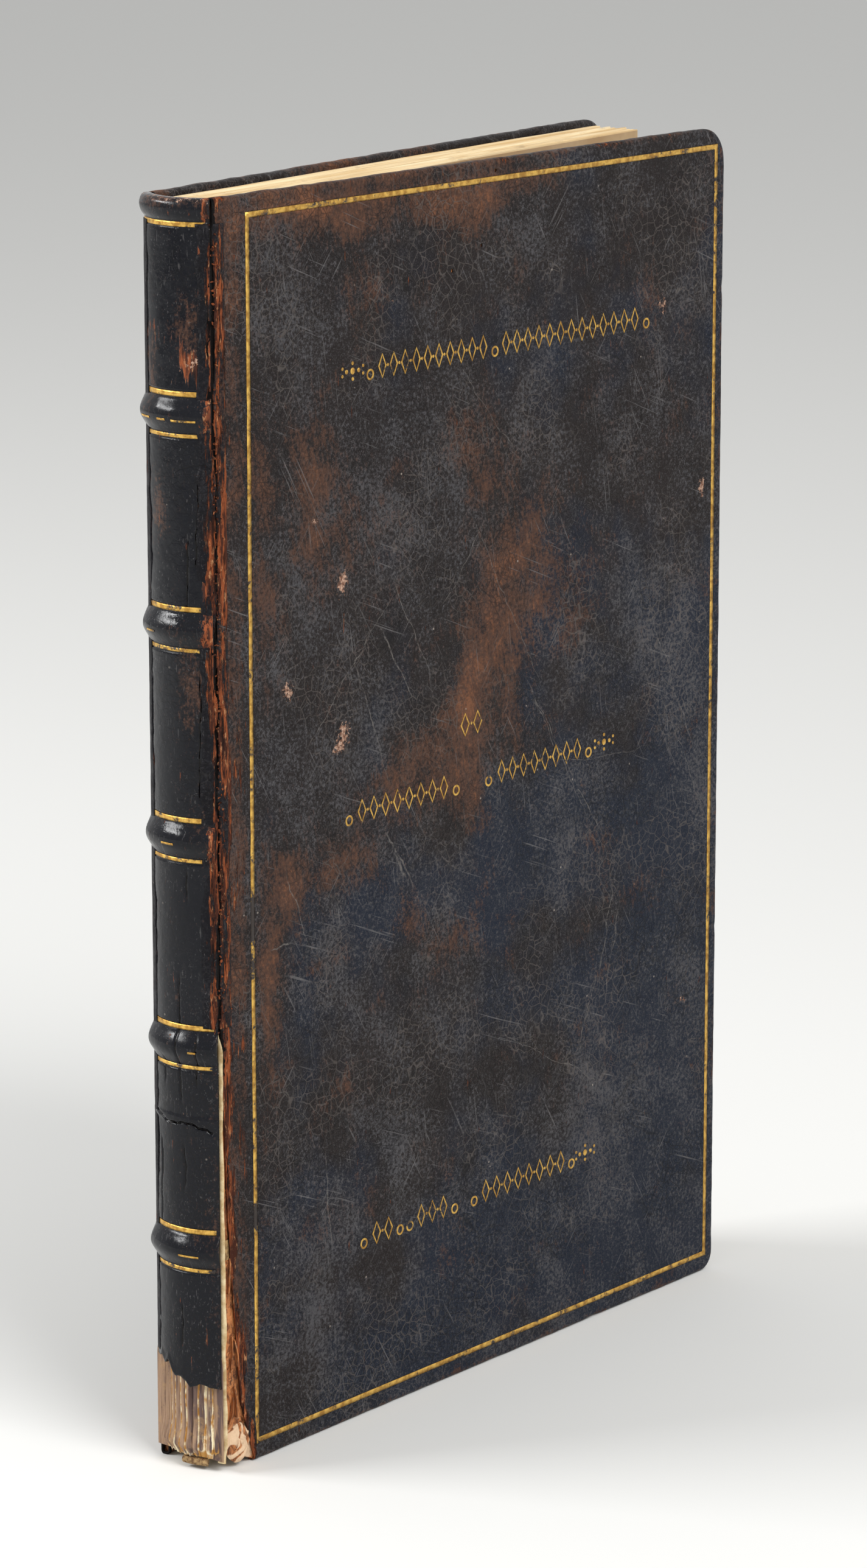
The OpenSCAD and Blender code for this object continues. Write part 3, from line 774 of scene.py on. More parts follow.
def rim(x_tail, x_head, step=1.3):
    """Points round the tail, fore-edge and head of a cover, with the way out at each."""
    rows = []

    def corner(cx, cz, r, start, count):
        for a in np.radians(np.linspace(start, start + 90, count)):
            rows.append((cx + r * math.cos(a), cz + r * math.sin(a), math.cos(a), math.sin(a)))

    for x in np.linspace(x_tail, COVER_W - TAIL_CORNER, int(COVER_W / step))[:-1]:
        rows.append((x, 0.0, 0.0, -1.0))
    corner(COVER_W - TAIL_CORNER, TAIL_CORNER, TAIL_CORNER, -90, 9)
    for z in np.linspace(TAIL_CORNER, COVER_H - HEAD_CORNER, int(COVER_H / step))[1:-1]:
        rows.append((COVER_W, z, 1.0, 0.0))
    corner(COVER_W - HEAD_CORNER, COVER_H - HEAD_CORNER, HEAD_CORNER, 0, 13)
    for x in np.linspace(COVER_W - HEAD_CORNER, x_head, int(COVER_W / step))[1:]:
        rows.append((x, COVER_H, 0.0, 1.0))
    return np.array(rows)


def ring_points(offset, step=2.5):
    """The gilt frame's rectangle grown by an offset, as a ring of points."""
    x0, z0, x1, z1 = GILT_BOX
    nx, nz = int((x1 - x0) / step), int((z1 - z0) / step)
    x0, z0, x1, z1 = x0 - offset, z0 - offset, x1 + offset, z1 + offset
    tail = [(x, z0) for x in np.linspace(x0, x1, nx)[:-1]]
    fore = [(x1, z) for z in np.linspace(z0, z1, nz)[:-1]]
    head = [(x, z1) for x in np.linspace(x1, x0, nx)[:-1]]
    hinge = [(x0, z) for z in np.linspace(z1, z0, nz)[:-1]]
    return tail + fore + head + hinge


def cover_skin(front):
    """One cover's leather: outer face, worn edges and turn-ins, as a sheet with its marks."""
    ends = leather_start(np.array([0.0, COVER_H]), front)
    edge = rim(ends[0], ends[1])
    loop = edge[:, :2] - edge[:, 2:] * EDGE_R
    loop[0], loop[-1] = (ends[0], EDGE_R), (ends[1], COVER_H - EDGE_R)
    side_z = np.arange(COVER_H - EDGE_R - 0.6, EDGE_R + 0.3, -0.6)
    side = np.stack([leather_start(side_z, front), side_z], 1)
    boundary = np.concatenate([loop, side])

    # Inner points: a fine grid near the joint, a coarse one beyond, both clear of every edge
    rng = np.random.default_rng(3)
    near = np.mgrid[0.9:13:0.72, 1.6:308.5:0.72].reshape(2, -1).T
    far = np.mgrid[13.3:202:1.5, 1.8:308.5:1.5].reshape(2, -1).T
    inner = np.concatenate(
        [near + rng.uniform(-0.12, 0.12, near.shape), far + rng.uniform(-0.3, 0.3, far.shape)]
    )
    clear = np.abs(np.abs(frame_distance(*inner.T)) - 0.75) > 0.45
    clear &= inner[:, 0] > leather_start(inner[:, 1], front) + 0.35
    above, below = inner[:, 1] - (COVER_H - HEAD_CORNER), TAIL_CORNER - inner[:, 1]
    for r, past in ((HEAD_CORNER, above), (TAIL_CORNER, below)):
        corner = np.hypot(np.maximum(inner[:, 0] - (COVER_W - r), 0), np.maximum(past, 0))
        clear &= corner < r - EDGE_R - 0.4
    rings = [ring_points(o) for o in (-LIPS_HALF, -FLOOR_HALF, FLOOR_HALF, LIPS_HALF)]
    holes = WORMHOLES if front else []
    turns = np.linspace(0, 2 * math.pi, 11)[:-1]
    for cx, cz in holes:
        rings.append([(cx + 0.55 * math.cos(a), cz + 0.6 * math.sin(a)) for a in turns])
        clear &= np.hypot(inner[:, 0] - cx, inner[:, 1] - cz) > 1.0
    flat, faces = fill(boundary.tolist(), rings, inner[clear].tolist())
    middle = flat[faces].mean(1)
    keep = np.ones(len(faces), bool)
    for cx, cz in holes:
        keep &= np.hypot(middle[:, 0] - cx, middle[:, 1] - cz) > 0.5
    faces = faces[keep]
    points = np.stack([flat[:, 0], 0 * flat[:, 0], flat[:, 1]], 1)

    # The rounded edge and the turn-ins: (way in from the rim, depth) along their section
    bend = np.radians(np.linspace(0, 90, 6))
    out = [(EDGE_R * (1 - math.sin(a)), EDGE_R * (1 - math.cos(a))) for a in bend]
    back = [(i, COVER_FORM - y) for i, y in reversed(out)]
    profile = out + back + [(i, COVER_FORM) for i in (3.0, 6.0, 10.0, TURN_IN)]
    strips = []
    for inset, y in profile:
        p = edge[:, :2] - edge[:, 2:] * inset
        p[:, 0] = np.minimum(p[:, 0], COVER_W - inset)
        p[:, 1] = np.clip(p[:, 1], inset, COVER_H - inset)
        strips.append(np.stack([p[:, 0], y + 0 * p[:, 0], p[:, 1]], 1))
    strips[0][:, [0, 2]] = loop
    around = np.stack(strips, 1).reshape(-1, 3)
    band = shifted(grid_faces(len(edge), len(profile)), len(points))
    points, faces = merged(np.concatenate([points, around]), list(faces) + band)

    # Relief, and nicks in the rim
    x, y, z = points.T.copy()
    outer = smooth(y, 0.9, 0.0)
    relief = undulation(x, z, front) + groove(x, z)
    notch = np.clip(0.12 + 0.2 * grain((x + z) / 6, (x - z) / 6, 23, 3), 0, 0.3)
    deep_nicks = [(203, 268, 2, 1.6, 1), (202, 96, 2, 1.1, 0.8), (150, 0, 2.5, 2, 0.7)]
    notch += 0.5 * blobs(x, z, deep_nicks)
    for axis, distance, way in ((0, COVER_W - x, -1), (2, z, 1), (2, COVER_H - z, -1)):
        points[:, axis] += way * notch * smooth(distance, 1.5, 0.0)
    points[:, 1] += outer * relief
    return points, faces, wear_marks(x, y, z, front)


def wear_marks(x, y, z, front):
    """Where a cover is rubbed brown, broken to raw red-brown or scuffed pale, and where shade is
    painted into its open joint.
    """
    to_edge = np.minimum(np.minimum(COVER_W - x, z), COVER_H - z)
    on_edge = smooth(to_edge, 2.2, 0.2) * smooth(y, 2.6, 1.0)
    if front:
        brown = blobs(x, z, BROWN_FRONT) + 0.6 * smooth(x, 11.5, 8)
        patchy = smooth(grain(x / 9, z / 16, 29, 2), -0.35, 0.35)
        rust = blobs(x, z, RUST_FRONT) + 0.5 * smooth(x, 5.6, 3.0) * (0.45 + 0.8 * patchy)
        rust = rust + 0.34 * smooth(x, 12, 8) * patchy
        torn = smooth(x - leather_start(z, True), 1.3, 0.4) * smooth(z, 115, 100)
        rust = rust + 0.5 * torn
        # Painted shade: near-black in the open crack where the front leather starts
        crack = 1.2 * smooth(x - leather_start(z, True), 0.75, 0.45) * smooth(z, 90, 112)
        scuff = blobs(x, z, SCUFF_FRONT)
    else:
        brown = 0.9 * smooth(grain(x / 38, z / 38, 71, 2), 0.05, 0.7) + 0.5 * smooth(x, 9, 4)
        rust = 0.3 * smooth(x, 3.5, 1.5) * smooth(z, 10, 25)
        scuff = blobs(x, z, [(150, 60, 3, 2, 0.9), (60, 200, 2, 4, 0.9), (110, 120, 2, 2, 0.8)])
        # Painted shade: near-black along the rear cover's edge in the joint's gap
        crack = 1.2 * smooth(x, 1.1, 0.8)
    brown = brown + 0.5 * on_edge
    rust = rust + 0.42 * on_edge * smooth(grain(x / 14, z / 14, 31), -0.2, 0.5)
    return {"brown": brown, "rust": rust, "scuff": scuff, "crack": crack}


# Spine


def smooth_min(a, b, width):
    """The smaller of two values, rounded off where they meet."""
    h = np.clip(0.5 + 0.5 * (b - a) / width, 0, 1)
    return b * (1 - h) + a * h - width * h * (1 - h)


def band_bump(z):
    """How far the bands stand out at a height."""
    bump = np.zeros_like(z)
    for height in BAND_Z:
        t = np.clip((z - height) / BAND_W + 0.5, 0, 1)
        bump = np.maximum(bump, BAND_RISE * np.sin(np.pi * t) ** 1.35)
    return bump


def rule_depth(z):
    """Depth of the rules' grooves at a height."""
    depth = np.zeros_like(z)
    starts = [CAP_Z - RULE_W]
    for height in BAND_Z:
        starts += [height - BAND_W / 2 - RULE_W, height + BAND_W / 2]
    for start in starts:
        off = np.abs(z - start - RULE_W / 2)
        depth = np.maximum(depth, smooth(off, RULE_W / 2 + 0.12, RULE_W / 2 - 0.02))
    return depth * (GROOVE + 0.03)


# Torn edge at the tail: place across the closed book, height
TEAR = [
    (-2, 21.4), (1, 21.6), (3, 21.8), (4.8, 22.7), (6.6, 22.1), (8, 21.6), (9.2, 22.8), (11, 23.8),
    (12.4, 23.6), (13.2, 24.4), (15, 27.2), (16.4, 26.0), (18, 27.6), (20, 26.6), (23, 26.6),
]
CRACK_Z = 88.0


def clip_radius(angle):
    """Radius at which the bands end flush with the covers, seen from the spine's centre."""
    way = np.sin(APEX + angle)
    reach = np.abs(np.where(way < 0, BAND_INSET, BOOK_T - BAND_INSET) - ARC_CENTRE[1])
    return np.minimum(reach / np.maximum(np.abs(way), 1e-3), 40)


# Cracks that run up the spine: low end, high end, place along the arc
UPRIGHTS = [
    (92, 126, 1.5), (96, 112, 6.0), (96, 105, -4.0), (30, 44, 1.0), (60, 84, -6.0), (142, 152, 4.0),
    (212, 232, 5.0), (70, 84, 2.5), (166, 200, 8.0), (222, 246, 7.5),
]


def upright_cracks(along, z):
    """1 along the cracks that run up the spine."""
    total = np.zeros(np.shape(z))
    for low, high, at in UPRIGHTS:
        line = at + 0.8 * grain(z / 7, 0 * z, at + 33, 3)
        reach = smooth(z, low, low + 3) * smooth(z, high, high - 3)
        total = np.maximum(total, reach * smooth(np.abs(along - line), 0.38, 0.1))
    return total


def cross_crack(along, z):
    """1 along the crack that runs across the spine."""
    line = CRACK_Z + 1.5 * grain(along / 3.4, 0 * z, 77, 3) - 0.12 * along
    return smooth(np.abs(z - line), 0.42, 0.14) * smooth(along, 11, 9)


def spine_rows():
    """Heights of the spine's rows, close together at the rules and at the crack."""
    rows = list(np.arange(SPREAD_Z, CAP_Z - RULE_W - 0.2, 0.62))
    for height in BAND_Z + [CAP_Z + BAND_W / 2]:
        for start in (height - BAND_W / 2 - RULE_W, height + BAND_W / 2):
            for edge in (start, start + RULE_W):
                rows += [edge - 0.14, edge - 0.02, edge + 0.02, edge + 0.14]
    rows += list(np.arange(CRACK_Z - 2.4, CRACK_Z + 2.4, 0.2))
    rows = sorted(r for r in rows if SPREAD_Z <= r <= CAP_Z)
    kept = [rows[0]]
    for r in rows[1:]:
        if r - kept[-1] > 0.03:
            kept.append(r)
    return np.array(kept)


def spine_skin():
    """The spine's leather from its torn tail over the bands to the head cap."""
    angles = np.linspace(-ARC_END, ARC_END, 71)
    rows = spine_rows()
    cap = np.array([
        (0.2, 0.35), (0.55, 0.8), (0.9, 1.4), (1.15, 2.1), (1.28, 2.9), (1.22, 3.7), (1.0, 4.4),
        (0.6, 4.95), (0.05, 5.25), (-0.7, 5.36), (-1.6, 5.3), (-2.3, 5.0), (-2.7, 4.6),
    ])
    low = np.linspace(0, 1, 60)[:-1]
    table_r = np.concatenate([np.full(len(low) + len(rows), SPINE_R), SPINE_R + cap[:, 0]])
    table_z = np.concatenate([SPREAD_Z + 0 * low, rows, CAP_Z + cap[:, 1]])
    share = np.concatenate([1 - low, np.zeros(len(rows) + len(cap))])[:, None]
    radius, angle = np.meshgrid(table_r, angles, indexing="ij")
    y_here = ARC_CENTRE[1] + SPINE_R * np.sin(APEX + angle)
    tear = np.interp(y_here, *np.array(TEAR).T) + 0.35 * grain(y_here / 0.8, 0 * angle, 9, 3)
    z = table_z[:, None] + share * (tear - SPREAD_Z)

    radius = smooth_min(radius + band_bump(z), clip_radius(angle), 0.35)
    along = angle * SPINE_R
    calm = smooth(np.abs(z - CRACK_Z), 4, 2)
    quiet = 1 - smooth(rule_depth(z), 0.0, 0.03)
    wrinkle = 0.06 * grain(along / 5, z / 9, 61, 3) + 0.03 * grain(along / 1.2, z / 1.6, 63, 2)
    panel = np.clip((z - BAND_Z[0]) % BAND_PITCH / BAND_PITCH, 0, 1)
    sag = -0.12 * np.sin(np.pi * panel) ** 2 * smooth(z, 40, 60)
    radius = radius + quiet * (wrinkle + sag)
    across, upright = cross_crack(along, z), upright_cracks(along, z)
    radius += 0.25 * smooth(np.abs(z - CRACK_Z - 0.8), 1.6, 0.2) * calm
    radius -= 0.6 * across + 0.35 * upright
    lift = smooth(z - tear, 2.2, 0.0) * (share > 0)
    radius += 0.35 * lift * (0.4 + 0.6 * grain(along / 3, 0 * z, 83, 2))
    radius -= rule_depth(z)
    worn_edge = smooth(along, 8.3, 10.5) * smooth(z, 100, 130)
    radius += 0.22 * worn_edge * grain(along / 0.8, z / 1.4, 91, 3)

    points = on_arc(angle, radius, z).reshape(-1, 3)
    crest = np.zeros_like(z)
    for height in BAND_Z:
        crest = np.maximum(crest, smooth(np.abs(z - height - 0.3), 1.3, 0.2))
    front_side = smooth(along, 6.5, 10.8)
    patchy = smooth(grain(along / 6, z / 15, 87, 2), -0.4, 0.4)
    # Painted shade: the crack mark darkens the spine's cracks, and its edges where they meet the
    # joints' gaps
    ends = 1.2 * smooth(np.abs(along), 11.1, 11.4)
    marks = {
        "crack": np.maximum(np.maximum(0.9 * across, 0.75 * upright), ends),
        "brown": 0.3 * front_side
        + 0.75 * blobs(along, z, [
            (6, 196, 4, 10, 1), (5, 280, 4, 10, 0.9), (-4, 238, 4, 7, 1), (-6, 268, 3, 10, 0.8),
        ])
        + 0.35 * blobs(along, z, [(2, 309, 12, 2, 1.6), (7, 62, 3, 6, 0.8), (7, 160, 3, 8, 0.8)]),
        "rust": 0.6 * smooth(along, 8.2, 10.6) * smooth(z, 100, 125) * (0.4 + 0.8 * patchy)
        + blobs(along, z, [
            (8, 270, 3.0, 5, 0.75), (5.5, 272, 2.5, 3, 0.6), (9.8, 292, 1.6, 12, 0.7),
        ])
        + blobs(along, z, [
            (10, 226, 1.6, 14, 0.6), (10.4, 176, 1.4, 16, 0.55), (9.4, 204, 2.0, 5, 0.5),
        ])
        + 0.3 * np.maximum(across, upright)
        + 0.42 * blobs(along, z, [(-2, 277, 5, 3, 1), (-8, 279, 3, 3, 1), (-3, 233, 3, 5, 0.5)]),
        "scuff": blobs(along, z, [
            (7.5, 273, 1.6, 2.4, 0.7), (5.0, 271, 2.0, 1.6, 0.6), (9, 266, 1.2, 2, 0.6),
        ])
        + 0.62 * blobs(along, z, [(2, 309.6, 14, 1.3, 1)])
        + 0.2 * crest * patchy,
    }
    return from_block(points), grid_faces(len(table_z), len(angles)), marks


# Leaves


def leaf_block(leaves):
    """The cut leaves: every leaf's edge runs round tail, fore-edge and head as its own layer."""
    rng = np.random.default_rng(19)
    step = LEAVES_T / leaves
    lines, cut_in = [], []
    per_quire = leaves / GATHERINGS
    for i in range(leaves):
        y = LEAVES_Y + i * step
        inset = abs(rng.normal(0, 0.13)) + 0.22 * (1 + math.sin(int(i / per_quire) * 2.4))
        inset += 0.35 if rng.random() < 0.06 else 0
        split = int(i / per_quire) != int((i - 1) / per_quire)
        gap = 0.75 if split else 0.22 + 0.2 * rng.random()
        lines += [y + 0.004, y + step * 0.22, y + step * 0.8]
        cut_in += [inset + gap, inset, inset + 0.03]
    lines.append(LEAVES_Y + LEAVES_T)
    cut_in.append(cut_in[-1] + 0.1)
    lines, cut_in = np.array(lines), np.array(cut_in)

    middle = LEAVES_T / 2
    hollow = 1.2 * (1 - ((lines - LEAVES_Y - middle) / middle) ** 2)
    shape = [(x, TAIL_Z, 0, -1) for x in np.linspace(0, LEAF_W - 0.5, 26)]
    shape += [(LEAF_W, z, 1, 0) for z in np.linspace(TAIL_Z + 0.5, HEAD_Z - 0.5, 44)]
    shape += [(x, HEAD_Z, 0, 1) for x in np.linspace(LEAF_W - 0.5, 0, 60)]
    shape = np.array(shape, float)
    count, layers = len(shape), len(lines)
    x = shape[:, None, 0] - shape[:, None, 2] * (hollow + cut_in)[None, :]
    z = shape[:, None, 1] - shape[:, None, 3] * cut_in[None, :]
    uneven = 0.45 - 0.3 * (1 + grain(x / 45, lines[None, :] * 2.2, 7, 2))
    z = z + (shape[:, None, 3] > 0) * uneven
    back = ARC_CENTRE[0] - (CHORD_X - 0.6)
    x = back + (x / LEAF_W) * (LEAF_W - back)
    wave = 0.16 * grain(x / 50, z / 70, 5, 2) + 0.05 * grain(x / 9, z / 9, 6, 2)
    inside = smooth(np.abs(lines - LEAVES_Y - middle), middle, middle - 1.5)
    y = lines[None, :] + wave * inside[None, :]
    points = np.stack([x, y, z], -1).reshape(-1, 3)
    faces = grid_faces(count, layers, wrap_rows=True)
    faces.append([i * layers for i in range(count)])
    faces.append([i * layers + layers - 1 for i in reversed(range(count))])
    return from_block(points), faces


def sewn_backs():
    """Rounded backs of the gatherings, flared, frayed and bare at the tail."""
    angles = np.linspace(-ARC_END - 0.02, ARC_END + 0.02, 171)
    low = np.linspace(0, 1, 46) ** 1.3 * 27 + 2.9
    heights = np.concatenate([low, np.arange(36, HEAD_Z - 0.4, 6.0), [HEAD_Z - 0.4]])
    z, angle = np.meshgrid(heights, angles, indexing="ij")
    along = angle * BACK_R
    spread = 2 * (CHORD / 2 - 2.4) / BACK_R
    place = (angle / spread + 0.5) * GATHERINGS
    wander = 0.18 * grain(along / 3, z / 6, 47, 2)
    lobe = np.abs(np.sin(np.pi * (place + wander))) ** 0.5  # 1 on a gathering's back
    bare = smooth(z, 34, 26)
    flare = 0.95 * smooth(z, 12, 5) - 1.5 * smooth(z, 6.0, 2.6)
    shred = grain(along / 0.5, z / 14, 41, 3)
    radius = BACK_R - 0.12 + bare * (flare - 0.9 * (1 - lobe) + 0.22 * shred * smooth(z, 30, 22))
    # Under the spine's leather the backs draw in, clear of the joints
    radius -= 0.35 * (1 - bare)
    angle = angle * (0.93 + 0.07 * bare)
    radius = np.minimum(radius, clip_radius(angle) - 0.1)
    frayed = 0.5 * (grain(along / 0.55, 0 * z, 43, 2) + 0.6)
    z = z + frayed * smooth(z, 8, 2.9)
    points = on_arc(angle, radius, z)
    ends = angle[:, [-1, 0]]
    closing = on_arc(ends, (CHORD_X + JOINT_GAP) / np.cos(ends), heights[:, None] + 0 * ends)
    points = np.concatenate([points, closing], 1)
    columns = points.shape[1]
    faces = grid_faces(len(heights), columns, wrap_columns=True)
    faces.append(list(reversed(range(columns))))
    faces.append([(len(heights) - 1) * columns + j for j in range(columns)])
    fold = smooth(np.abs((place + wander) % 1 - 0.5), 0.3, 0.46)
    some = smooth(grain(np.round(place + wander), 0 * place, 49, 1), -0.75, 0.1)
    ridge = 0.95 * fold * some + 0.5 * smooth(z, 6.5, 3.2) + 0.4 * smooth(along, 3.5, 7)
    ridge = np.concatenate([ridge, 0 * ridge[:, :2]], 1)
    return from_block(points.reshape(-1, 3)), faces, {"ridge": ridge}


# Boards


def board_outline():
    """Edge of the front pasteboard, crushed and torn at its lower corner."""
    hinge_x, tail_z = 0.95, 0.65
    crushed = [
        (hinge_x, 5.4), (2.0, 5.2), (3.1, 3.6), (4.4, 2.9), (5.6, 2.2), (7.6, 2.4), (9.3, 1.5),
        (11.2, 0.7),
    ]
    right, top = COVER_W - BOARD_IN, COVER_H - BOARD_IN
    tail_r, head_r = TAIL_CORNER - BOARD_IN, HEAD_CORNER - BOARD_IN
    tail = [(x, tail_z) for x in np.arange(14, right - 4, 6)]
    corner = [
        (right - tail_r + tail_r * math.sin(a), tail_z + tail_r - tail_r * math.cos(a))
        for a in np.radians(np.arange(0, 91, 18))
    ]
    head = [
        (right - head_r + head_r * math.cos(a), top - head_r + head_r * math.sin(a))
        for a in np.radians(np.arange(0, 91, 15))
    ]
    hinge = [(hinge_x + 0.12 * math.sin(z * 1.7), z) for z in np.arange(304, 8, -0.9)]
    return crushed + tail + corner + head + [(hinge_x, top)] + hinge


def pasteboard(front):
    """A board in layers, its torn edges fanned out where the leather is gone."""
    right, top = COVER_W - BOARD_IN, COVER_H - BOARD_IN
    outline = np.array(board_outline() if front else [
        (1.8, BOARD_IN), (COVER_W - TAIL_CORNER, BOARD_IN), (right, TAIL_CORNER),
        (right, COVER_H - HEAD_CORNER), (COVER_W - HEAD_CORNER, top), (1.8, top),
    ])
    inner = np.zeros((0, 2))
    if front:
        inner = np.mgrid[1.5:15:0.6, 1.2:62:0.6].reshape(2, -1).T
        low = np.interp(inner[:, 0], outline[:8, 0], outline[:8, 1])
        inner = inner[inner[:, 1] > low + 0.5]
        inner = inner + np.random.default_rng(2).uniform(-0.12, 0.12, inner.shape)
    ways = np.roll(outline, -1, 0) - np.roll(outline, 1, 0)
    ways = np.stack([ways[:, 1], -ways[:, 0]], 1) / np.hypot(*ways.T)[:, None]
    flat, faces = fill(outline.tolist(), [], inner.tolist())
    faces = faces[within_ring(flat[faces].mean(1), outline - 1e-4 * ways)]
    thick = COVER_FORM - SKIN - BOARD_Y
    layers = np.linspace(BOARD_Y, BOARD_Y + thick, 7)
    ox, oz = outline.T
    walls = []
    for k, y in enumerate(layers):
        slip = 0.28 * grain(oz / 2.5 + 9 * k, ox / 2.5, 37 + k, 2)
        slip *= (k not in (0, len(layers) - 1)) * smooth(ox, 16, 10) * smooth(oz, 120, 60)
        walls.append(np.stack([ox + ways[:, 0] * slip, y + 0 * slip, oz + ways[:, 1] * slip], 1))
    around = np.stack(walls, 1).reshape(-1, 3)
    face = np.stack([flat[:, 0], BOARD_Y + 0 * flat[:, 0], flat[:, 1]], 1)
    back = face + (0, thick, 0)
    count = len(face)
    made = list(faces) + [f[::-1] + count for f in faces]
    made += shifted(grid_faces(len(outline), len(layers), wrap_rows=True), 2 * count)
    points, made = merged(np.concatenate([face, back, around]), made)
    x, y, z = points.T.copy()
    torn = np.zeros(len(points))
    if front:
        open_part = smooth(x - leather_start(z, True), 0.6, -0.8) * smooth(z, 66, 56)
        torn = open_part * (0.75 * smooth(z, 13, 8) + 0.1)
        lump = blobs(x, z, [(6.2, 5.6, 2.6, 3.2, 1.0)]) * smooth(x, 1.5, 3.5)
        fold = 1 - np.abs(grain((x + 0.6 * z) / 3.2, (z - 0.5 * x) / 5.0, 59, 2))
        rough = 0.35 * grain(x / 1.1, z / 2.2, 51, 3) + 0.25 * grain(x / 0.5, z / 0.6, 53, 2)
        points[:, 1] += smooth(y, 1.6, 0.7) * open_part * (rough + 0.3 - lump * (0.3 + 1.1 * fold))
        points[:, 2] += smooth(y, 1.6, 0.7) * open_part * lump * 0.9
    # A lining that fills the room between the turn-ins
    reach = TURN_IN + 0.2
    lining = [
        (x, y, z)
        for y in (BOARD_Y + thick - 0.1, COVER_FORM)
        for z in (reach, COVER_H - reach)
        for x in (2.0, COVER_W - reach)
    ]
    walls = [(0, 1, 3, 2), (4, 6, 7, 5), (0, 4, 5, 1), (1, 5, 7, 3), (3, 7, 6, 2), (2, 6, 4, 0)]
    made += shifted(walls, len(points))
    torn = np.concatenate([torn, np.zeros(len(lining))])
    return np.concatenate([points, lining]), made, {"torn": torn}


# Curled layers at the crushed corner: foot (x, z), head (x, z), radius and angle of the curl
FOLDS = [
    (2.2, 12.0, 3.4, 18.5, 0.5, 150), (4.8, 13.0, 4.0, 21.0, 0.5, 160),
    (2.8, 25.0, 3.6, 34.0, 0.4, 150), (5.2, 26.0, 4.4, 33.0, 0.45, 150),
    (2.4, 45.0, 2.9, 54.0, 0.35, 150),
]


def corner_folds():
    """Layers of the board that came loose at its crushed corner and curled outwards."""
    parts, torn = [], []
    long, wide = 17, 13
    u, v = np.meshgrid(np.linspace(0, 1, long), np.linspace(0, 1, wide), indexing="ij")
    for k, (x0, z0, x1, z1, r, turn) in enumerate(FOLDS):
        along = np.array([x1 - x0, z1 - z0]) / math.hypot(x1 - x0, z1 - z0)
        taper = np.sin(np.pi * (0.12 + 0.76 * u)) ** 0.5
        size = r * (1 + 0.35 * grain(u * 3, v * 1.5, 7 + k, 2)) * taper
        a = math.radians(turn) * v
        out = size * (1 - np.cos(a)) + 0.25 * v
        aside = size * np.sin(a) * 0.8 - 0.5 * r * v
        wave = 0.2 * r * grain(u * 4, v * 3, 31 + k, 2)
        x = x0 + (x1 - x0) * u + along[1] * aside + wave
        z = z0 + (z1 - z0) * u - along[0] * aside + 0.5 * wave
        points = np.stack([x, 0.95 - out, z], -1).reshape(-1, 3)
        parts.append((points.tolist(), grid_faces(long, wide)))
        torn.append(0.35 * smooth(v, 0.2, 0.7))
    return *joined(parts), {"torn": torn}


def corner_lump():
    """The crumpled wad of board layers at the foot of the joint, with painted light on its folds and
    painted shade between them.
    """
    cx, cz = 5.9, 6.3
    share = np.linspace(0, 1, 26)[1:]
    turns = np.linspace(0, 2 * math.pi, 73)[:-1]
    r, a = np.meshgrid(share, turns, indexing="ij")
    wide = 1 + 0.14 * grain(np.cos(a) * 1.6, np.sin(a) * 1.6, 3, 2)
    x = cx + 4.5 * r * np.cos(a) * wide
    z = cz + 4.9 * r * np.sin(a) * wide
    x, z = np.append(x.ravel(), cx), np.append(z.ravel(), cz)
    r = np.append(r.ravel(), 0.0)
    phase = 0.3 * x - 0.13 * z + 0.9 * grain(x / 4.5, z / 5.5, 13, 2)
    fold = np.abs(np.sin(np.pi * phase)) ** 0.6
    curl = 1 - np.abs(grain(x / 2.2, z / 3.5, 19, 2))
    dome = np.clip(1 - r**2, 0, 1) ** 0.55
    out = dome * (0.55 + 1.35 * fold * curl + 0.15 * grain(x / 0.8, z / 0.8, 23, 2))
    points = np.stack([x + 0.5 * dome * fold, 0.9 - out, z], 1)
    count = len(turns)
    faces = [f[::-1] for f in grid_faces(len(share), count, wrap_columns=True)]
    faces += [(len(points) - 1, (j + 1) % count, j) for j in range(count)]
    faces.append([(len(share) - 1) * count + j for j in range(count)])
    # The torn mark is high on the bulging folds and low between them: painted light and painted
    # shade
    return points, faces, {"torn": 0.15 + 0.85 * smooth(fold * curl, 0.3, 0.75)}


def joint_strip():
    """The vellum strip that shows as a pale line in the open joint."""
    heights = np.arange(2.2, 308, 0.9)
    wave = 0.22 * grain(heights / 12, 0 * heights, 3, 3)
    seen = smooth(heights, 114, 106)
    outer = 1.9 - seen * (2.25 + 0.3 * grain(heights / 5, 0 * heights, 13, 3))
    outer = outer + 0.7 * smooth(heights, 7, 3)
    shift = seen * (1.6 * wave + 0.1)
    wide = 1 + 0.9 * smooth(heights, 88, 60)
    section = [
        (0.0, 1.0), (0.0, 0.55), (0.04, 0.15), (0.25, 0.0), (0.48, 0.12), (0.55, 0.5), (0.55, 1.0),
    ]
    rings = []
    for along, deep in section:
        y = outer + deep * (2.35 - outer)
        push = shift * (1 - deep)
        across = along * (deep + (1 - deep) * wide)
        rings.append(np.stack([JOINT_GAP + 0.02 + across - push, y, heights], 1))
    points = np.stack(rings, 1).reshape(-1, 3)
    faces = grid_faces(len(heights), len(section), wrap_columns=True)
    last = (len(heights) - 1) * len(section)
    faces.append(list(reversed(range(len(section)))))
    faces.append([last + j for j in range(len(section))])
    return points, faces


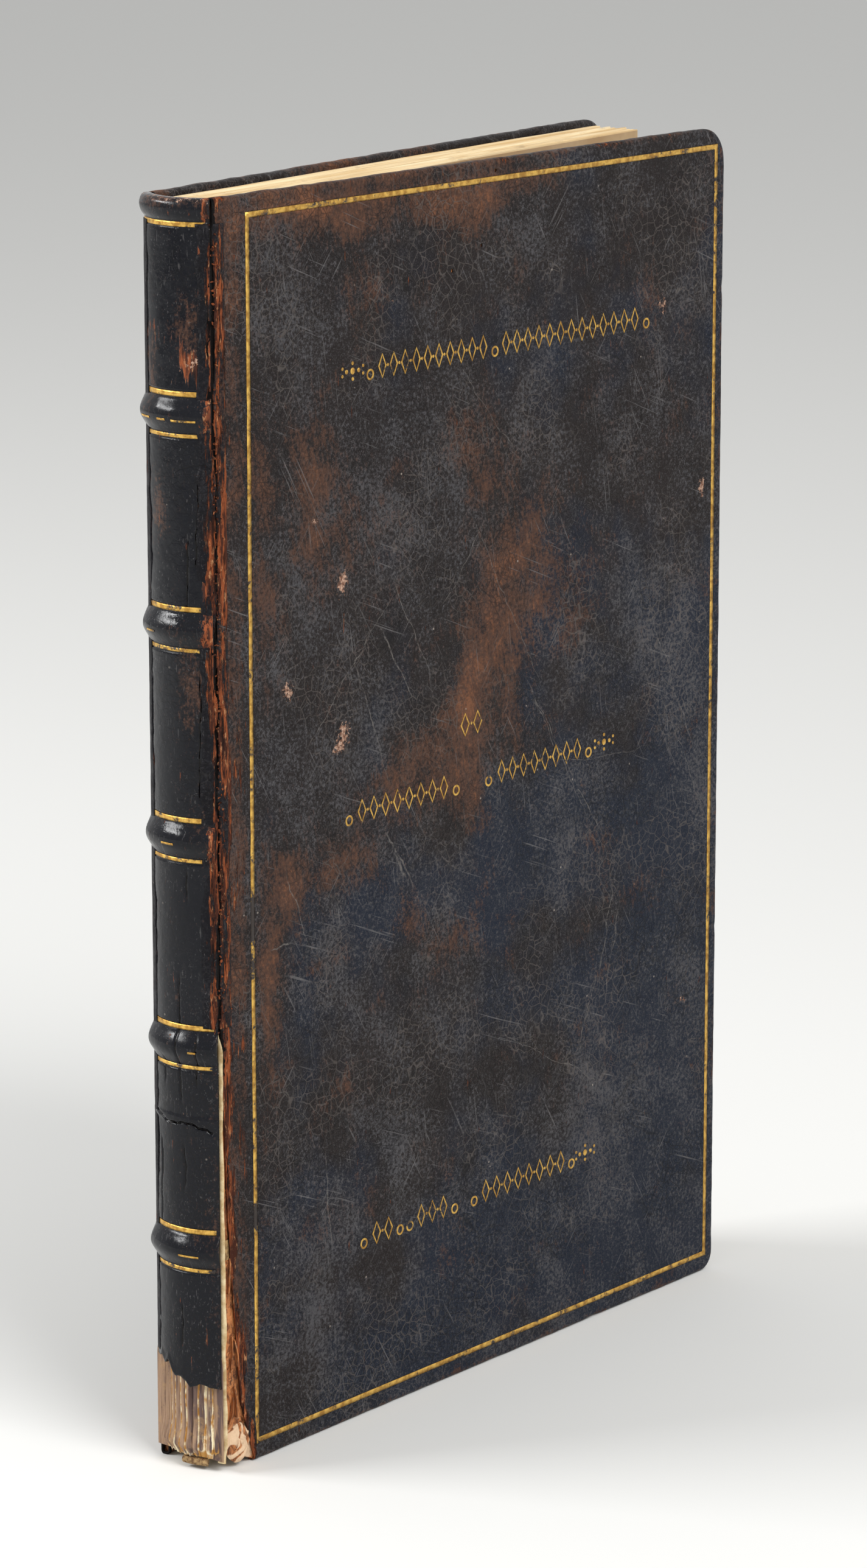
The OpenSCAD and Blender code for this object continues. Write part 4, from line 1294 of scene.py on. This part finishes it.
def joint_skin(front):
    """Leather over one joint, from the spine's edge to the cover, in the row frame."""
    side = 1 if front else -1
    low = 112.0 if front else 28.0
    heights = np.arange(low, 304.5, 0.6)
    share = np.linspace(0, 1, 19)
    z, t = np.meshgrid(heights, share, indexing="ij")
    reach = ARC_END - 0.2 - 0.06 * grain(heights / 5, 0 * heights, 67, 3)
    onto = from_block(on_arc(side * reach, SPINE_R + 0.05, 0.0))[:, :2]
    shoulder = on_arc(np.array([side * (ARC_END - 0.06)]), SPINE_R + 0.14, 0.0)
    shoulder = from_block(shoulder)[:, :2]
    cover = np.array([(0.1, 0.02, 0), (1.2, 0.10, 0), (2.6, 0.02, 0), (4.2, -0.02, 0)])
    cover = (from_front(cover) if front else from_rear(cover))[:, :2]
    keys = np.concatenate([shoulder, cover])
    stations = np.array([0.2, 0.4, 0.6, 0.8, 1.0])
    first = np.clip(1 - t / stations[0], 0, 1)
    x, y = (
        first * onto[:, k, None] + (1 - first) * np.interp(t, stations, keys[:, k]) for k in (0, 1)
    )
    ragged = grain(z / 2.4, t * 0, 15, 3) * 0.5
    x = x + (t - 0.5) * ragged * (1 if front else 0.3)
    bulge = 0.08 + 0.05 * grain(t * 4, z / 5, 27, 2)
    if front:
        bulge = 0.1 + 0.2 * grain(t * 6, z / 1.5, 25, 3)
    edges = smooth(t, 0.0, 0.12) * smooth(t, 1.0, 0.88)
    split = 0.0
    if front:
        line = 0.42 + 0.16 * grain(z / 9, 0 * z, 35, 3) - 0.1 * smooth(z, 250, 270)
        broad = 0.05 + 0.03 * grain(z / 14, 0 * z, 45, 2) + 0.05 * smooth(np.abs(z - 282), 18, 8)
        split = smooth(np.abs(t - line), broad + 0.06, broad)
    y = y - side * ((bulge + 0.05) * edges - 0.4 * split)
    faces = grid_faces(len(heights), len(share), flip=not front)
    patchy = smooth(grain(t * 2, z / 15, 55, 2), -0.35, 0.4)
    marks = {
        "brown": 0.4 * smooth(t, 0.1, 0.5),
        "rust": (0.4 + 0.6 * patchy) * smooth(t, 0.02, 0.3) if front else 0.1 * patchy,
        "scuff": 0.15 * smooth(grain(t * 3, z / 7, 95, 2), 0.2, 0.8),
        # The split is pushed in and painted near-black: painted shade in the crack
        "crack": split + 0 * t,
    }
    return np.stack([x, y, z], -1).reshape(-1, 3), faces, marks


# Geometry node trees


class Tree:
    """A Geometry Nodes tree being built, with named inputs. It grows meshes along paths."""

    def __init__(self, name, inputs):
        self.group = bpy.data.node_groups.new(name, "GeometryNodeTree")
        self.socket("Geometry", "Geometry")
        self.keys = {}
        for label, kind, value in inputs:
            socket = self.socket(label, kind)
            socket.default_value = value
            self.keys[label] = socket.identifier
        self.socket("Geometry", "Geometry", "OUTPUT")
        self.start = self.group.nodes.new("NodeGroupInput")
        self.end = self.group.nodes.new("NodeGroupOutput")

    def socket(self, label, kind, way="INPUT"):
        return self.group.interface.new_socket(label, in_out=way, socket_type="NodeSocket" + kind)

    def put(self, kind, values, out=0, **settings):
        return put(self.group, kind, values, out, **settings)

    def random(self, low, high, seed):
        """A random vector for each point or instance."""
        given = {0: low, 1: high, "Seed": seed}
        return self.put("FunctionNodeRandomValue", given, data_type="FLOAT_VECTOR")

    def given(self, label):
        return self.start.outputs[label]

    def finish(self, geometry, material):
        geometry = self.put("GeometryNodeRealizeInstances", {0: geometry})
        geometry = self.put("GeometryNodeSetMaterial", {"Geometry": geometry, "Material": material})
        feed(self.group, self.end.inputs[0], geometry)
        return self

    def grown(self, name, points, values):
        """The mesh that the tree grows along a path through points of the row frame."""
        curve = bpy.data.curves.new(name, "CURVE")
        curve.dimensions = "3D"
        spline = curve.splines.new("POLY")
        spline.points.add(len(points) - 1)
        for target, point in zip(spline.points, np.asarray(points) * MM):
            target.co = (*point, 1)
        path = placed(name, curve)
        modifier = path.modifiers.new(self.group.name, "NODES")
        modifier.node_group = self.group
        for label, value in values.items():
            modifier[self.keys[label]] = value
        made = evaluated(path)
        bpy.data.objects.remove(path)
        return made


def grown_piece(name, points, tree, values, body, slot, replaces=(), smooth_shade=True):
    """A piece that a tree grows along a path."""
    made = tree.grown(name + "_path", points, values)
    made.name = name
    if smooth_shade:
        made.shade_smooth()
    piece = placed(name, made)
    attach(piece, body, slot, replaces)
    return piece


def endband_tree(material):
    """Thread wound side by side round a core that follows the spine."""
    t = Tree("Endband", [
        ("Core radius", "Float", 0.4 * MM), ("Thread radius", "Float", 0.16 * MM),
        ("Turns", "Int", 60),
    ])
    line = t.given("Geometry")
    circle = "GeometryNodeCurvePrimitiveCircle"
    loop = t.put(circle, {"Resolution": 10, "Radius": t.given("Core radius")})
    section = t.put(circle, {"Resolution": 5, "Radius": t.given("Thread radius")})
    sweep = "GeometryNodeCurveToMesh"
    core = t.put(sweep, {"Curve": line, "Profile Curve": loop, "Fill Caps": True})
    thread = t.put(sweep, {"Curve": loop, "Profile Curve": section})
    places = t.put("GeometryNodeCurveToPoints", {"Curve": line, "Count": t.given("Turns")})
    given = {"Points": places, "Instance": thread, "Rotation": places.node.outputs["Rotation"]}
    wound = t.put("GeometryNodeInstanceOnPoints", given)
    both = t.put("GeometryNodeJoinGeometry", {0: core})
    feed(t.group, both.node.inputs[0], wound)
    return t.finish(both, material)


def crumb_tree(material):
    """Crumbs of broken leather scattered along a line."""
    t = Tree("Crumbs", [
        ("Count", "Int", 300), ("Spread", "Vector", (MM, MM, MM)), ("Size", "Float", 0.4 * MM),
        ("Seed", "Int", 4),
    ])
    spread = t.given("Spread")
    given = {"Curve": t.given("Geometry"), "Count": t.given("Count")}
    places = t.put("GeometryNodeCurveToPoints", given)
    minus = t.put("ShaderNodeVectorMath", {0: spread, 1: (-1, -1, -1)}, operation="MULTIPLY")
    shift = t.random(minus, spread, t.given("Seed"))
    places = t.put("GeometryNodeSetPosition", {"Geometry": places, "Offset": shift})
    crumb = t.put("GeometryNodeMeshIcoSphere", {"Radius": t.given("Size"), "Subdivisions": 2})
    dent = 0.12 * MM
    given = {"Geometry": crumb, "Offset": t.random((-dent,) * 3, (dent,) * 3, 9)}
    crumb = t.put("GeometryNodeSetPosition", given)
    turn = t.random((-3.1,) * 3, (3.1,) * 3, 5)
    scale = t.random((0.25, 0.25, 0.25), (1.0, 0.6, 1.6), 6)
    given = {"Points": places, "Instance": crumb, "Rotation": turn, "Scale": scale}
    return t.finish(t.put("GeometryNodeInstanceOnPoints", given), material)


def motif_tree(material):
    """A row of flat open lozenges along a line."""
    t = Tree("Tooled row", [
        ("Count", "Int", 5), ("Width", "Float", 2.6 * MM), ("Height", "Float", 5.6 * MM),
    ])
    count = t.given("Count")
    line = t.put("GeometryNodeResampleCurve", {"Curve": t.given("Geometry"), "Count": count})
    places = t.put("GeometryNodeCurveToPoints", {"Curve": line, "Count": count})
    lozenge = t.put("GeometryNodeCurvePrimitiveCircle", {"Resolution": 4, "Radius": 0.5})
    size = t.put("ShaderNodeCombineXYZ", {0: t.given("Width"), 1: t.given("Height"), 2: 1.0})
    lozenge = t.put("GeometryNodeTransform", {"Geometry": lozenge, "Scale": size})
    section = t.put(
        "GeometryNodeCurvePrimitiveQuadrilateral", {"Width": 0.55 * MM, "Height": 0.12 * MM}
    )
    lozenge = t.put("GeometryNodeCurveToMesh", {"Curve": lozenge, "Profile Curve": section})
    row = t.put("GeometryNodeInstanceOnPoints", {"Points": places, "Instance": lozenge})
    return t.finish(row, material)


# Settings a user would change


def tint(name, description, colour):
    return FloatVectorProperty(
        name=name, description=description, subtype="COLOR_GAMMA", min=0, max=1, default=colour
    )


class FolioLook(bpy.types.PropertyGroup):
    leather_black: tint("Black leather", "Main colour of the covers", (0.12, 0.1, 0.098))
    leather_blue: tint("Blue-black leather", "Cool parts of the covers", (0.09, 0.115, 0.165))
    leather_grey: tint("Dusty leather", "Greyed surface of the covers", (0.295, 0.29, 0.3))
    leather_brown: tint("Rubbed leather", "First brown under the black", (0.31, 0.215, 0.17))
    leather_tan: tint("Bare leather", "Where the black is rubbed off", (0.47, 0.31, 0.22))
    leather_scratch: tint("Scratches", "Fine scratches in the leather", (0.45, 0.44, 0.44))
    rust_dark: tint("Broken leather, dark", "Raw leather at the joint", (0.26, 0.145, 0.11))
    rust_red: tint("Broken leather, red", "Raw red leather at the joint", (0.56, 0.3, 0.175))
    rust_pale: tint("Broken leather, pale", "Raw fibres at the joint", (0.74, 0.54, 0.38))
    gold_deep: tint("Gold, deep", "Darker gold leaf", (0.66, 0.49, 0.22))
    gold_bright: tint("Gold, bright", "Brighter gold leaf", (0.88, 0.71, 0.36))
    leaf_cream: tint("Leaf edges", "Cream of the leaves' edges", (0.98, 0.93, 0.8))
    leaf_tan: tint("Toned leaf edges", "Brown tone of the leaves' edges", (0.89, 0.78, 0.58))
    # Painted shade between the leaves' edges
    leaf_shadow: tint("Between leaves", "Tone between the leaves", (0.85, 0.74, 0.56))
    paper_light: tint("Endpaper", "Flat paper", (0.89, 0.84, 0.73))
    paper_toned: tint("Toned endpaper", "Flat paper where it has browned", (0.84, 0.76, 0.61))
    board_dark: tint("Pasteboard, dark", "Layers of the board", (0.5, 0.29, 0.15))
    board_light: tint("Pasteboard, light", "Layers of the board", (0.78, 0.5, 0.29))


class FolioSizes(bpy.types.PropertyGroup):
    leaves: IntProperty(
        name="Leaves", description="Layers in the text block", default=108, min=36, max=200
    )
    crumbs: IntProperty(
        name="Crumbs", description="Bits of leather in the front joint", default=420, min=0, max=2000
    )
    key_power: FloatProperty(
        name="Key light", description="Power of the main soft light in watts", default=36.0, min=0
    )
    fill_power: FloatProperty(
        name="Fill light", description="Power of the spine's light in watts", default=19.0, min=0
    )
    surround: FloatProperty(
        name="Surround", description="Strength of the even light all round", default=0.5, min=0
    )


# Operators


def front_place():
    """Mapping that turns row coordinates in millimetres into the front cover's own frame."""
    hinge = turn_z(FRONT_HINGE[None, :], AJAR)[0]
    return {"location": tuple(-hinge), "rotation": (0, 0, AJAR)}


class FOLIO_OT_covers(bpy.types.Operator):
    """Covering leather of both covers, with worn edges, turn-ins and tooled lines"""

    bl_idname = "folio.covers"
    bl_label = "Cover leather"

    def execute(self, context):
        leather = {
            True: leather_finish("FrontLeather", front_place(), strokes=STROKES_FRONT),
            False: leather_finish("RearLeather", worn=0.9),
        }
        for front, finish in leather.items():
            cover_piece(
                front, "{side}_cover_skin", cover_skin(front), finish, "leather",
                ["{side}_cover_leather"], thickness=SKIN, sharp=40,
            )
        return {"FINISHED"}


class FOLIO_OT_boards(bpy.types.Operator):
    """Pasteboards, and the vellum strip in the front joint"""

    bl_idname = "folio.boards"
    bl_label = "Boards"

    def execute(self, context):
        board = board_finish()
        for front in (True, False):
            made = pasteboard(front)
            cover_piece(front, "{side}_pasteboard", made, board, "pasteboard", ["{side}_board"])
        for name, made, thickness in (
            ("front_corner_folds", corner_folds(), 0.3),
            ("front_corner_lump", corner_lump(), 0.0),
        ):
            cover_piece(True, name, made, board, "pasteboard", thickness=thickness, sharp=70)
        strip = plain_finish("Vellum", (0.76, 0.64, 0.45), (0.91, 0.83, 0.66), 0.35, relief=0.2)
        cover_piece(True, "vellum_strip", joint_strip(), strip, "vellum", ["front_joint_strip"])
        return {"FINISHED"}


class FOLIO_OT_spine(bpy.types.Operator):
    """Spine leather over the bands, and the leather over both joints"""

    bl_idname = "folio.spine"
    bl_label = "Spine"

    def execute(self, context):
        points, faces, marks = spine_skin()
        finish = leather_finish(
            "SpineLeather", gloss=0.33, worn=0.6, sheen=0.21, depth=0.93, relief=0.12
        )
        make_piece(
            "spine_skin", points, faces, finish, "block", "leather", ["spine_leather"], marks,
            thickness=0.85, sharp=60,
        )
        finish = leather_finish("JointLeather", worn=0.6, depth=0.7)
        for front, body in ((True, "front_cover"), (False, "rear_cover")):
            points, faces, marks = joint_skin(front)
            piece = make_piece(
                f"{body}_joint_skin", points, faces, finish, None, "leather", (), marks,
                thickness=0.3, sharp=60,
            )
            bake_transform(piece)
        return {"FINISHED"}


def dress(names, finish):
    """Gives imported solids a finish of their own."""
    for name in names:
        materials = frame["nodes"][name].data.materials
        materials.clear()
        materials.append(finish)


class FOLIO_OT_leaves(bpy.types.Operator):
    """Sewn leaves, their bare backs, and the papers inside the covers"""

    bl_idname = "folio.leaves"
    bl_label = "Leaves"

    def execute(self, context):
        points, faces = leaf_block(context.scene.folio_sizes.leaves)
        make_piece(
            "leaf_block", points, faces, leaf_finish(), "block", "leaves", ["text_block"], sharp=35
        )
        points, faces, marks = sewn_backs()
        make_piece(
            "quire_backs", points, faces, quire_finish(), "block", "leaves", ["text_block"], marks,
            sharp=60,
        )
        papers = ("front_flyleaf", "rear_flyleaf", "front_pastedown", "rear_pastedown")
        dress(papers, paper_finish())
        return {"FINISHED"}


# Where the front frame's gold is rubbed away, as (x, z, radius x, radius z, strength)
BARE_GOLD = [
    (12.5, 137, 2, 8, 1.0), (12.5, 124, 2, 5, 0.6), (12.5, 28, 2, 26, 0.42),
    (12.5, 92, 2, 6, 0.4), (12.5, 62, 2, 4, 0.9), (12.5, 170, 2, 4, 0.6),
    (12.5, 255, 2, 5, 0.45), (12.5, 196, 2, 5, 0.5), (40, 305, 7, 2, 0.45),
    (150, 5, 16, 2, 0.35), (199.5, 130, 2, 10, 0.4),
]


def gilt_ribbon(front):
    """Gold in the tooled line frame, following the leather's relief."""
    offsets = (-0.66, 0.0, 0.66)
    rings = []
    for offset in offsets:
        x, z = np.array(ring_points(offset, 1.6)).T
        rings.append(np.stack([x, undulation(x, z, front) + GROOVE - 0.09, z], 1))
    points = np.stack(rings, 1).reshape(-1, 3)
    faces = grid_faces(len(rings[0]), len(offsets), wrap_rows=True)
    bare = blobs(points[:, 0], points[:, 2], BARE_GOLD if front else [])
    return points, faces, {"bare": bare}


# Traces of gold left on the bands: height, and from where to where along the arc
TRACES = [
    (258.3, -8.5, -4.5), (258.3, -1.8, 0.6), (258.2, 2.2, 8.0), (207.6, -7.0, -3.5),
    (106.2, 4.6, 6.4), (55.2, 1.6, 6.6), (156.9, -2.0, 1.5),
]


def spine_gold():
    """The rules beside the bands, and the traces of gold on them."""
    reach = ARC_END * SPINE_R
    # Each strip: low and high, start and end along the arc, depth in its groove, how rubbed it is
    strips = [(CAP_Z - RULE_W + 0.15, CAP_Z - 0.2, -reach + 0.2, reach - 0.6, GROOVE, 0.1)]
    for k, height in enumerate(BAND_Z):
        upper, lower = height + BAND_W / 2, height - BAND_W / 2 - RULE_W
        short = reach - 1.2 - 0.3 * (k % 3)
        strips.append((upper + 0.1, upper + 1.35, -reach + 0.2, reach - 0.9, GROOVE, 0.05))
        strips.append((lower + 0.35, lower + 1.25, -reach + 0.2, short, GROOVE, 0.3))
    strips += [(z - 0.25, z + 0.25, a, b, -0.06, 0.3) for z, a, b in TRACES]
    wide, long = 4, 64
    parts, bare = [], []
    for low, high, start, end, deep, rubbed in strips:
        heights, places = np.linspace(low, high, wide), np.linspace(start, end, long)
        z, far = np.meshgrid(heights, places, indexing="ij")
        angle = far / SPINE_R
        radius = smooth_min(SPINE_R + band_bump(z), clip_radius(angle), 0.35) + 0.05 - deep
        parts.append((on_arc(angle, radius, z).reshape(-1, 3).tolist(), grid_faces(wide, long)))
        patches = 0.35 * grain(far / 2.5, 0 * far + low, 21, 2)
        bare.append(rubbed + patches + 0.5 * smooth(far, reach - 3.5, reach))
    points, faces = joined(parts)
    return from_block(points), faces, {"bare": bare}


# Rows of tooled ornament on the front cover: height, then the runs of lozenges from x to x, and
# the places of the single rings and of the sprigs
ORNAMENT_ROWS = [
    (264.0, [(59.9, 103.6), (108.3, 166.6)], [57.5, 106.2, 169.4], [50.9]),
    (170.0, [(91.8, 101.9)], [], []),
    (155.5, [(51.4, 88.1), (106.9, 143.1)], [48.8, 90.8, 103.9, 145.7], [152.4]),
    (
        46.5, [(56.4, 65.8), (74.3, 87.7), (100.7, 137.0)],
        [53.8, 68.1, 72.0, 90.2, 98.2, 139.4], [145.4],
    ),
]


# Dots of a sprig: place beside its middle, and radius
SPRIG = [
    (0, 0, 0.9), (2.3, 0, 0.6), (-2.3, 0, 0.6), (0, 1.9, 0.5), (0, -1.9, 0.5),
    (3.9, 0.9, 0.45), (3.9, -0.9, 0.45), (-3.9, 0.9, 0.45), (-3.9, -0.9, 0.45),
]
LOZENGE_PITCH = 4.4
BETWEEN_R = 0.42
RING_R = 1.15
RING_DROP = 1.6


def gilt_dot(x, z, r):
    """A low domed dot."""
    turns = np.linspace(0, 2 * math.pi, 11)[:-1]
    n = len(turns)
    rings = ((1.0, 0.05), (0.9, -0.03), (0.5, -0.06))
    points = [
        (x + r * share * math.cos(a), y, z + r * share * math.sin(a))
        for share, y in rings for a in turns
    ]
    points += [(x, -0.07, z), (x, 0.05, z)]
    faces = grid_faces(len(rings), n, wrap_columns=True)
    for j in range(n):
        k = (j + 1) % n
        faces += [(2 * n + j, 2 * n + k, 3 * n), (k, j, 3 * n + 1)]
    return points, faces


def gilt_ring(x, z, r):
    """A small ring with an open middle."""
    turns = np.linspace(0, 2 * math.pi, 17)[:-1]
    section = ((1.25, 0.05), (1.2, -0.05), (0.8, -0.05), (0.75, 0.05))
    points = [
        (x + r * s * math.cos(a), y, z + r * s * math.sin(a)) for a in turns for s, y in section
    ]
    walls = grid_faces(len(turns), len(section), wrap_rows=True, wrap_columns=True, flip=True)
    return points, walls


def ornaments(gold):
    """Rows of lozenges with dots between them, single rings, and sprigs of dots."""
    tree = motif_tree(gold)
    parts = []
    for height, runs, rings, sprigs in ORNAMENT_ROWS:
        for x0, x1 in runs:
            count = max(2, round((x1 - x0) / LOZENGE_PITCH))
            pitch = (x1 - x0) / count
            ends = [(x0 + pitch / 2, 0, height), (x1 - pitch / 2, 0, height)]
            made = tree.grown("run", ends, {"Count": count, "Width": pitch * 0.62 * MM})
            x, y, z = np.array([v.co for v in made.vertices]).T / MM
            faces = [list(p.vertices)[::-1] for p in made.polygons]
            parts.append((np.stack([x, z - height, y + height], 1).tolist(), faces))
            parts += [gilt_dot(x0 + pitch * k, height, BETWEEN_R) for k in range(1, count)]
            bpy.data.meshes.remove(made)
        parts += [gilt_ring(x, height - RING_DROP, RING_R) for x in rings]
        parts += [gilt_dot(x + dx, height + dz, r) for x in sprigs for dx, dz, r in SPRIG]
    points, faces = joined(parts)
    points[:, 1] += undulation(points[:, 0], points[:, 2], True)
    return points, faces, {"bare": np.full(len(points), 0.15)}


class FOLIO_OT_gilding(bpy.types.Operator):
    """Gilt line frames, rows of ornament and the rules on the spine"""

    bl_idname = "folio.gilding"
    bl_label = "Gilding"

    def execute(self, context):
        gold = gold_finish("GoldLines", wear=0.5)
        for front in (True, False):
            cover_piece(
                front, "{side}_gilt_lines", gilt_ribbon(front), gold, "gold",
                ["{side}_gilt_frame"], thickness=0.05,
            )
        points, faces, marks = spine_gold()
        make_piece(
            "spine_gold_rules", points, faces, gold_finish("GoldRules", wear=0.55), "block",
            "gold", ["spine_gilt_rules"], marks, thickness=0.04,
        )
        made = ornaments(gold)
        cover_piece(True, "front_ornament_rows", made, gold, "gold", ["front_gilt_ornaments"])
        return {"FINISHED"}


class FOLIO_OT_threads(bpy.types.Operator):
    """Endbands, sewing cords and the crumbs of leather in the front joint"""

    bl_idname = "folio.threads"
    bl_label = "Threads and crumbs"

    def execute(self, context):
        thread = plain_finish("EndbandThread", (0.4, 0.28, 0.17), (0.72, 0.6, 0.42), 1.2)
        tree = endband_tree(thread)
        winding = 0.14
        # Height of the endband's middle, its radius, its ends as angles on the arc, its turns
        for name, z, r, low, high, turns in (
            ("head_endband", 308.95, 0.52, -34, 34, 62),
            ("tail_endband", 1.9, 1.02, -2, 25, 18),
        ):
            angles = np.radians(np.linspace(low, high, 30))
            radii = {"Core radius": (r - winding) * MM, "Thread radius": winding * MM}
            grown_piece(
                f"{name}_wound", from_block(on_arc(angles, BACK_R - r - 0.2, z)), tree,
                {**radii, "Turns": turns}, "block", "thread", [name],
            )
        cord = plain_finish("HempCord", (0.4, 0.3, 0.18), (0.68, 0.55, 0.36), 0.9)
        dress([n for n in frame["nodes"] if n.startswith("sewing_cord")], cord)
        dress(["front_cord_slips", "rear_cord_slips"], cord)
        raw = leather_finish("LeatherCrumbs")
        heights = np.linspace(112, 302, 60)
        line = np.stack([1.6 + 0.8 * np.sin(heights), 0.05 + 0 * heights, heights], 1)
        spread = (1.9 * MM, 0.12 * MM, 1.5 * MM)
        piece = grown_piece(
            "joint_crumbs", from_front(line), crumb_tree(raw),
            {"Count": context.scene.folio_sizes.crumbs, "Spread": spread},
            "front_cover", "leather", smooth_shade=False,
        )
        rust = piece.data.attributes.new("rust", "FLOAT", "POINT")
        rust.data.foreach_set("value", np.ones(len(piece.data.vertices), np.float32))
        return {"FINISHED"}


class FOLIO_OT_studio(bpy.types.Operator):
    """Pale floor, soft lights and the camera at the photograph's angle"""

    bl_idname = "folio.studio"
    bl_label = "Studio"

    def execute(self, context):
        scene = context.scene
        scene.view_settings.view_transform = "Standard"
        sizes = scene.folio_sizes
        self.floor()
        self.world(sizes.surround)
        self.lamp("Key", (-0.6, -1.6, 1.7), (0.0, 0.0, 0.16), (1.2, 1.2), sizes.key_power)
        self.lamp("Spine", (-0.92, 1.2, 1.02), (0.0, 0.0, 0.15), (0.9, 0.25), sizes.fill_power)
        self.camera(scene)
        return {"FINISHED"}

    def floor(self):
        half = 4.0
        corners = [(x * half, y * half, 0) for x, y in ((-1, -1), (1, -1), (1, 1), (-1, 1))]
        mesh = bpy.data.meshes.new("Floor")
        mesh.from_pydata(corners, [], [(0, 1, 2, 3)])
        mesh.materials.append(Finish("PaleFloor").set((0.93, 0.93, 0.92), 0.9))
        floor = placed("Floor", mesh)

    def world(self, strength):
        """Even light all round, of one level to light by and of another where it is seen."""
        seen_strength = 0.85
        world = bpy.data.worlds.new("Studio")
        bpy.context.scene.world = world
        world.use_nodes = True
        tree = world.node_tree
        back = tree.nodes["Background"]
        rays = put(tree, "ShaderNodeLightPath", {}, "Is Camera Ray")
        seen = rays
        for ray in ("Is Glossy Ray", "Is Transmission Ray"):
            either = {0: seen, 1: rays.node.outputs[ray]}
            seen = put(tree, "ShaderNodeMath", either, operation="MAXIMUM")
        given = {"Value": seen, "To Min": strength, "To Max": seen_strength}
        feed(tree, back.inputs["Strength"], put(tree, "ShaderNodeMapRange", given, "Result"))
        back.inputs["Color"].default_value = (1, 1, 1, 1)

    def lamp(self, name, place, target, size, power):
        light = bpy.data.lights.new(name, "AREA")
        light.shape = "RECTANGLE"
        light.size, light.size_y = size
        light.energy = power
        lamp = placed(name, light)
        lamp.location = place
        way = Vector(place) - Vector(target)
        lamp.rotation_euler = way.to_track_quat("Z", "Y").to_euler()

    def camera(self, scene):
        """The camera that fits the photograph, solved in the front cover's frame."""
        focal_pixels, tall = 8629.6, 2576
        place = from_front(np.array([[-910.86, -790.58, 451.23]]))[0] * MM
        axes = turn_z([
            (0.622910, -0.782293, -0.000662),
            (0.177026, 0.140134, 0.974179),
            (-0.762001, -0.606943, 0.225777),
        ], -AJAR)
        data = bpy.data.cameras.new("Camera")
        data.sensor_width = 36.0
        data.lens = focal_pixels / tall * data.sensor_width
        data.clip_start, data.clip_end = 0.05, 20.0
        camera = placed("Camera", data)
        turned = Matrix(axes.tolist()).transposed().to_4x4()
        camera.matrix_world = Matrix.Translation(Vector(place)) @ turned
        scene.camera = camera


class FOLIO_PT_panel(bpy.types.Panel):
    """Buttons and settings for the folio"""

    bl_label = "Folio"
    bl_idname = "FOLIO_PT_panel"
    bl_space_type = "VIEW_3D"
    bl_region_type = "UI"
    bl_category = "Folio"

    def draw(self, context):
        for operator in OPERATORS:
            self.layout.operator(operator.bl_idname)
        for group in (context.scene.folio_sizes, context.scene.folio_look):
            for name in group.__annotations__:
                self.layout.prop(group, name)


OPERATORS = (
    FOLIO_OT_covers,
    FOLIO_OT_boards,
    FOLIO_OT_spine,
    FOLIO_OT_leaves,
    FOLIO_OT_gilding,
    FOLIO_OT_threads,
    FOLIO_OT_studio,
)
CLASSES = (FolioLook, FolioSizes, *OPERATORS, FOLIO_PT_panel)


def register():
    for item in CLASSES:
        bpy.utils.register_class(item)
    bpy.types.Scene.folio_look = PointerProperty(type=FolioLook)
    bpy.types.Scene.folio_sizes = PointerProperty(type=FolioSizes)


def unregister():
    del bpy.types.Scene.folio_look
    del bpy.types.Scene.folio_sizes
    for item in reversed(CLASSES):
        bpy.utils.unregister_class(item)


def main():
    register()
    for operator in OPERATORS:
        group, name = operator.bl_idname.split(".")
        getattr(getattr(bpy.ops, group), name)()


if __name__ == "__main__":
    main()
